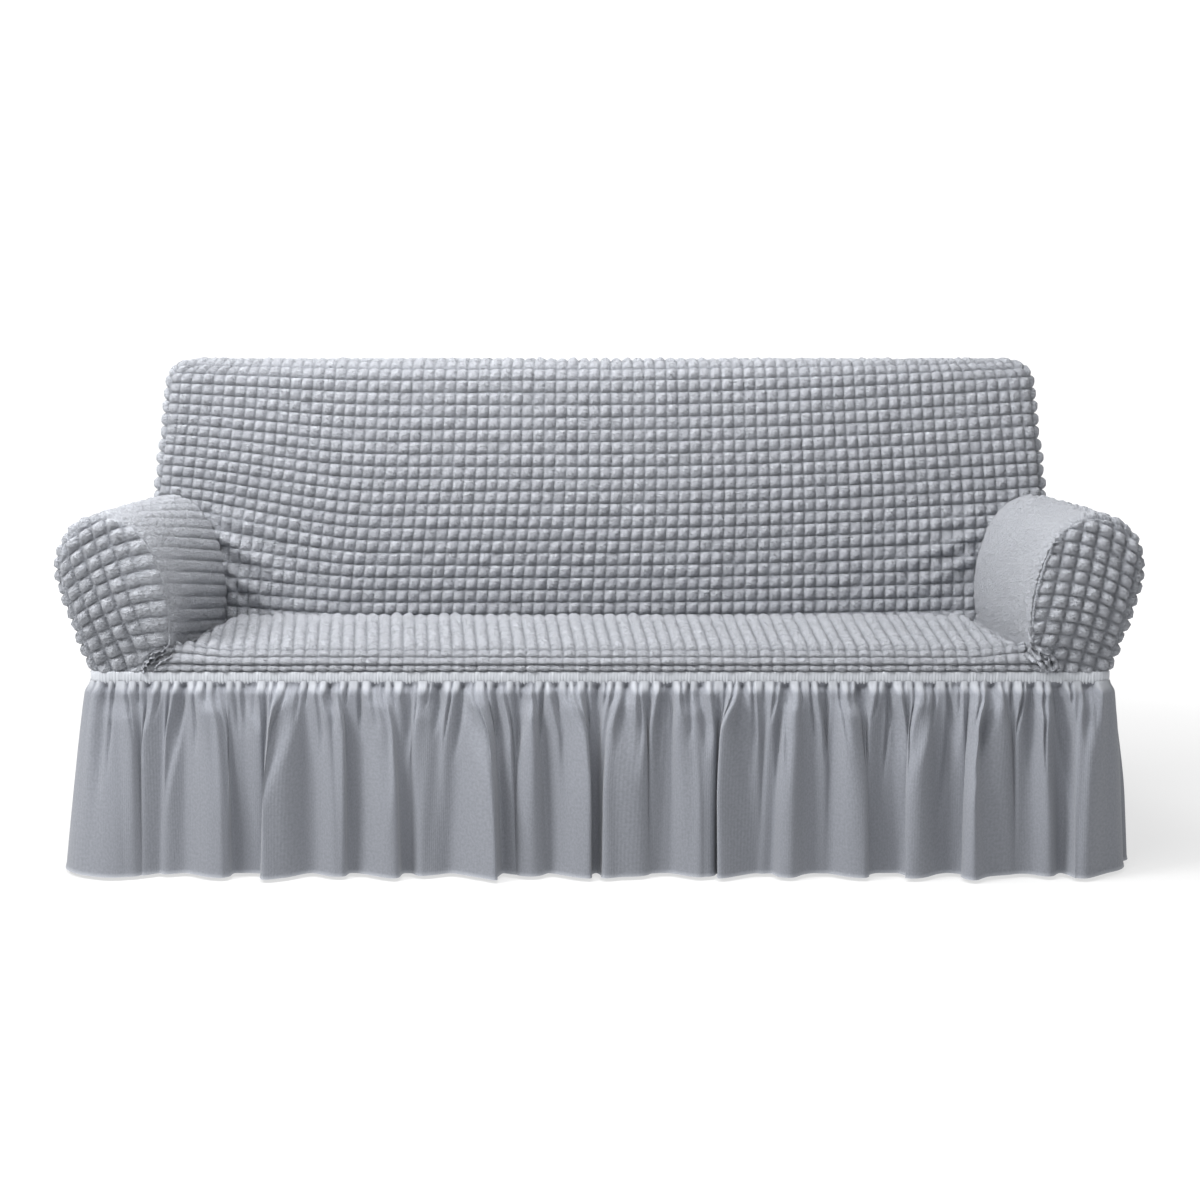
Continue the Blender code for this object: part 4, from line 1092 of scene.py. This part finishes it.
def skirt_panel(finish, tree, name, start, end, folds, seed, step, calm):
    """A run of the skirt between two shares of the base's line, gathered above and folded below."""
    loop = base_loop(0.0)
    length = (end - start) * loop.length
    levels = np.linspace(0.0, 1.0, SKIRT_LEVELS) ** 1.25
    along, fall = np.meshgrid(np.linspace(0.0, length, round(length / step) + 1), levels)
    out, sideways, sunk = np.zeros((3, *fall.shape))
    for centre, half_width, depth, reach, lean in folds:
        half = half_width * lerp(FOLD_NECK, 1.0, fall)
        late = (1.0 - reach) * FOLD_LAG
        grown_in = lerp(0.55, 1.0, gentle((fall - late) / 0.60)) * gentle((fall - late * 0.4) / 0.12)
        swell = FOLD_SWELL * depth * grown_in * half_wave((along - centre) / half)
        out += swell
        sideways += lean * FOLD_LEAN * swell * gentle(fall / 0.25)
    for centre, half, depth, dies, drift in pockets_along(length, seed + 3, *SKIRT_POCKETS):
        away = (along - centre - drift * 0.5 * fall * SKIRT_DROP) / half
        swell = depth * gentle(fall / 0.05) * np.clip(1.15 - fall / dies, 0.0, 1.0) * half_wave(away)
        out += swell
        sideways += math.copysign(POCKET_LEAN, drift) * swell * gentle(fall / 0.30)
    open_out = lerp(0.72, 1.0, gentle(fall / 0.10))
    creases = pockets_along(length, seed, *SKIRT_CREASES)
    creases += pockets_along(length, seed + 7, *SKIRT_GATHERS)
    for centre, half, depth, dies, drift in creases:
        left = np.clip(1.0 - fall / dies, 0.0, 1.0)
        half = half * lerp(0.30, 1.0, left) * open_out
        away = (along - centre - drift * fall * SKIRT_DROP) / half
        sunk += depth * gentle(left * 1.5) * half_wave(away)
    sunk = CREASE_LIMIT * np.tanh(sunk / CREASE_LIMIT)
    full = gentle(1.0 - sunk / 0.010)
    ends = gentle(along / calm) * gentle((length - along) / calm)
    out = ends * out - ends * sunk * lerp(0.2, 1.0, gentle(fall / 0.028))
    out += SKIRT_FLARE * fall**SKIRT_SWING + SKIRT_STAND + SKIRT_SHOULDER * gentle(fall / 0.06)
    place = along + start * loop.length
    corner = 1.0 - np.minimum(place, loop.length - place) / CORNER_RUN
    out += SKIRT_CORNER * fall * gentle(corner)
    sideways *= gentle(along / 0.06) * gentle((length - along) / 0.06)
    share = start + (along + sideways) / loop.length
    plane = loop.at(share) - loop.outward(share) * out[..., None]
    z = SKIRT_FOOT + SKIRT_DROP * (1.0 - fall) + 0.0028 * full * gentle(1.0 - fall / 0.02)
    points = np.concatenate([plane, z[..., None]], axis=-1)
    # painted highlight on the crests of the gathers, over the top 22 mm of the drop and away from the
    # creases
    painted_crest_highlight = full * gentle(1.0 - fall * SKIRT_DROP / 0.022)
    relief = joined(painted_crest_highlight, gentle((fall - HEM_START) / 0.004), 1.0)
    cloth, inside = (place, fall * SKIRT_DROP), (0.0, 0.0, 0.2)
    obj = make_sheet(name, points, cloth, relief, inside, turn=0.0)
    return grown(obj, tree, finish)


def skirt(finish, tree):
    """The four runs of gathered cloth, each from the middle of one corner to the middle of the next."""
    loop = base_loop(0.0)
    corner = math.radians(90) * BASE_CORNER
    wide = 2 * (BASE_HALF - BASE_CORNER) + corner
    deep = REAR_Y - FRONT_Y - 2 * BASE_CORNER + corner
    reach = 0.0
    runs = []
    for index, name in enumerate(SKIRT_RUNS):
        length = deep if index % 2 else wide
        folds = scattered_folds(length, SIDE_FOLD_SEED + index)
        if index == 0:
            folds = [(x + wide / 2, *row) for x, *row in FRONT_FOLDS]
        start, end = reach / loop.length, (reach + length) / loop.length
        sizes = (40 + index, SKIRT_STEPS[min(index, 1)], SKIRT_CALM[index % 2])
        runs.append(skirt_panel(finish, tree, name + "_cloth", start, end, folds, *sizes))
        reach += length
    return runs


# ---------------------------------------------------------------- stage, light and camera


def stage_plane(name, corners, material):
    mesh = bpy.data.meshes.new(name)
    mesh.from_pydata(corners, [], [(0, 1, 2, 3)])
    mesh.materials.append(material)
    placed(name, mesh)


def glowing(name, grey, near, far):
    """A stage finish that glows more the farther it is from the middle of the floor."""
    material, graph, shader = new_finish(name, 0.9, 0.0)
    place = graph.value("ShaderNodeTexCoord", output="Object")
    shader.inputs["Base Color"].default_value = (grey, grey, grey, 1.0)
    shader.inputs["Specular IOR Level"].default_value = 0.0
    shader.inputs["Emission Color"].default_value = (1.0, 1.0, 1.0, 1.0)
    glow = graph.stretched(graph.vector("LENGTH", place), 1.5, 3.6, near, far)
    graph.put(shader.inputs["Emission Strength"], glow)
    return material


def studio_floor():
    corners = [(x * STAGE, y * STAGE, 0.0) for x, y in ((-1, -1), (1, -1), (1, 1), (-1, 1))]
    stage_plane("studio_floor", corners, glowing("studio_floor", 0.24, FLOOR_GLOW, 1.0))
    y, low, high = STAGE_WALL
    corners = [(-STAGE, y, low), (STAGE, y, low), (STAGE, y, high), (-STAGE, y, high)]
    stage_plane("studio_wall", corners, glowing("studio_wall", 0.1, 1.05, 1.05))


def area_light(name, place, target, size, power):
    light = bpy.data.lights.new(name, "AREA")
    light.shape = "RECTANGLE"
    light.size, light.size_y = size
    light.energy = power
    obj = placed(name, light)
    obj.location = place
    x, y, z = np.array(place) - np.array(target)
    obj.rotation_euler = (math.atan2(math.hypot(x, y), z), 0.0, math.atan2(x, -y))


def studio():
    studio_floor()
    world = bpy.data.worlds.new("studio")
    world.use_nodes = True
    background = world.node_tree.nodes["Background"]
    background.inputs["Color"].default_value = (1.0, 1.0, 1.0, 1.0)
    background.inputs["Strength"].default_value = SKY
    bpy.context.scene.world = world
    area_light("key_light", (-2.6, -1.8, 2.9), (-0.2, 0.0, 0.5), (1.2, 1.2), KEY_POWER)
    area_light("top_light", (-0.52, -0.60, 3.4), (0.0, 0.0, 0.4), (2.6, 1.6), TOP_POWER)
    camera = placed("camera", bpy.data.cameras.new("camera"))
    camera.location = CAMERA_PLACE
    camera.rotation_euler = (math.radians(90.0 - CAMERA_DOWN), 0.0, 0.0)
    camera.data.lens, camera.data.sensor_width = CAMERA_LENS
    camera.data.sensor_fit = "HORIZONTAL"
    bpy.context.scene.camera = camera
    bpy.context.scene.view_settings.view_transform = "Standard"


# ---------------------------------------------------------------- the whole cover


def attach(obj, node):
    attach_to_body(obj, "root")
    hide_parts(node)


def main():
    bubbles, shirring, hem = bubble_tree(), shirring_tree(), hem_tree()
    cloth, elastic, ribbed = bubble_cloth(), shirred_elastic(), ribbed_skirt_cloth()
    pieces = [
        # piece, node, flat size, what it rests on, area of what is cut
        (inside_back(cloth, bubbles), "inside_back", (1.94, 0.86), "outside_back", None),
        (outside_back(cloth, bubbles), "outside_back", (2.04, 0.60), "inside_back", None),
        (seat(cloth, bubbles), "seat", (1.66, 0.58), "inside_back", None),
    ]
    for side, word in ((-1, "left"), (1, "right")):
        for make, node, *sizes in (
            (back_gusset, f"back_gusset_{word}", (0.36, 0.26), "inside_back", None),
            (arm_sleeve, f"arm_sleeve_{word}", (0.78, 0.85), "seat", 0.52),
            (arm_front, f"arm_front_{word}", (0.23, 0.32), "seat", 0.060),
        ):
            pieces.append((make(cloth, bubbles, node + "_cloth", side), node, *sizes))
    for obj, node, flat, under, area in pieces:
        attach(obj, node)
    band = waistband(elastic, shirring)
    attach(band, "waistband")
    for run, node in zip(skirt(ribbed, hem), SKIRT_RUNS):
        width = 2.9 if node in ("skirt_front", "skirt_back") else 1.26
        attach(run, node)
    studio()


main()
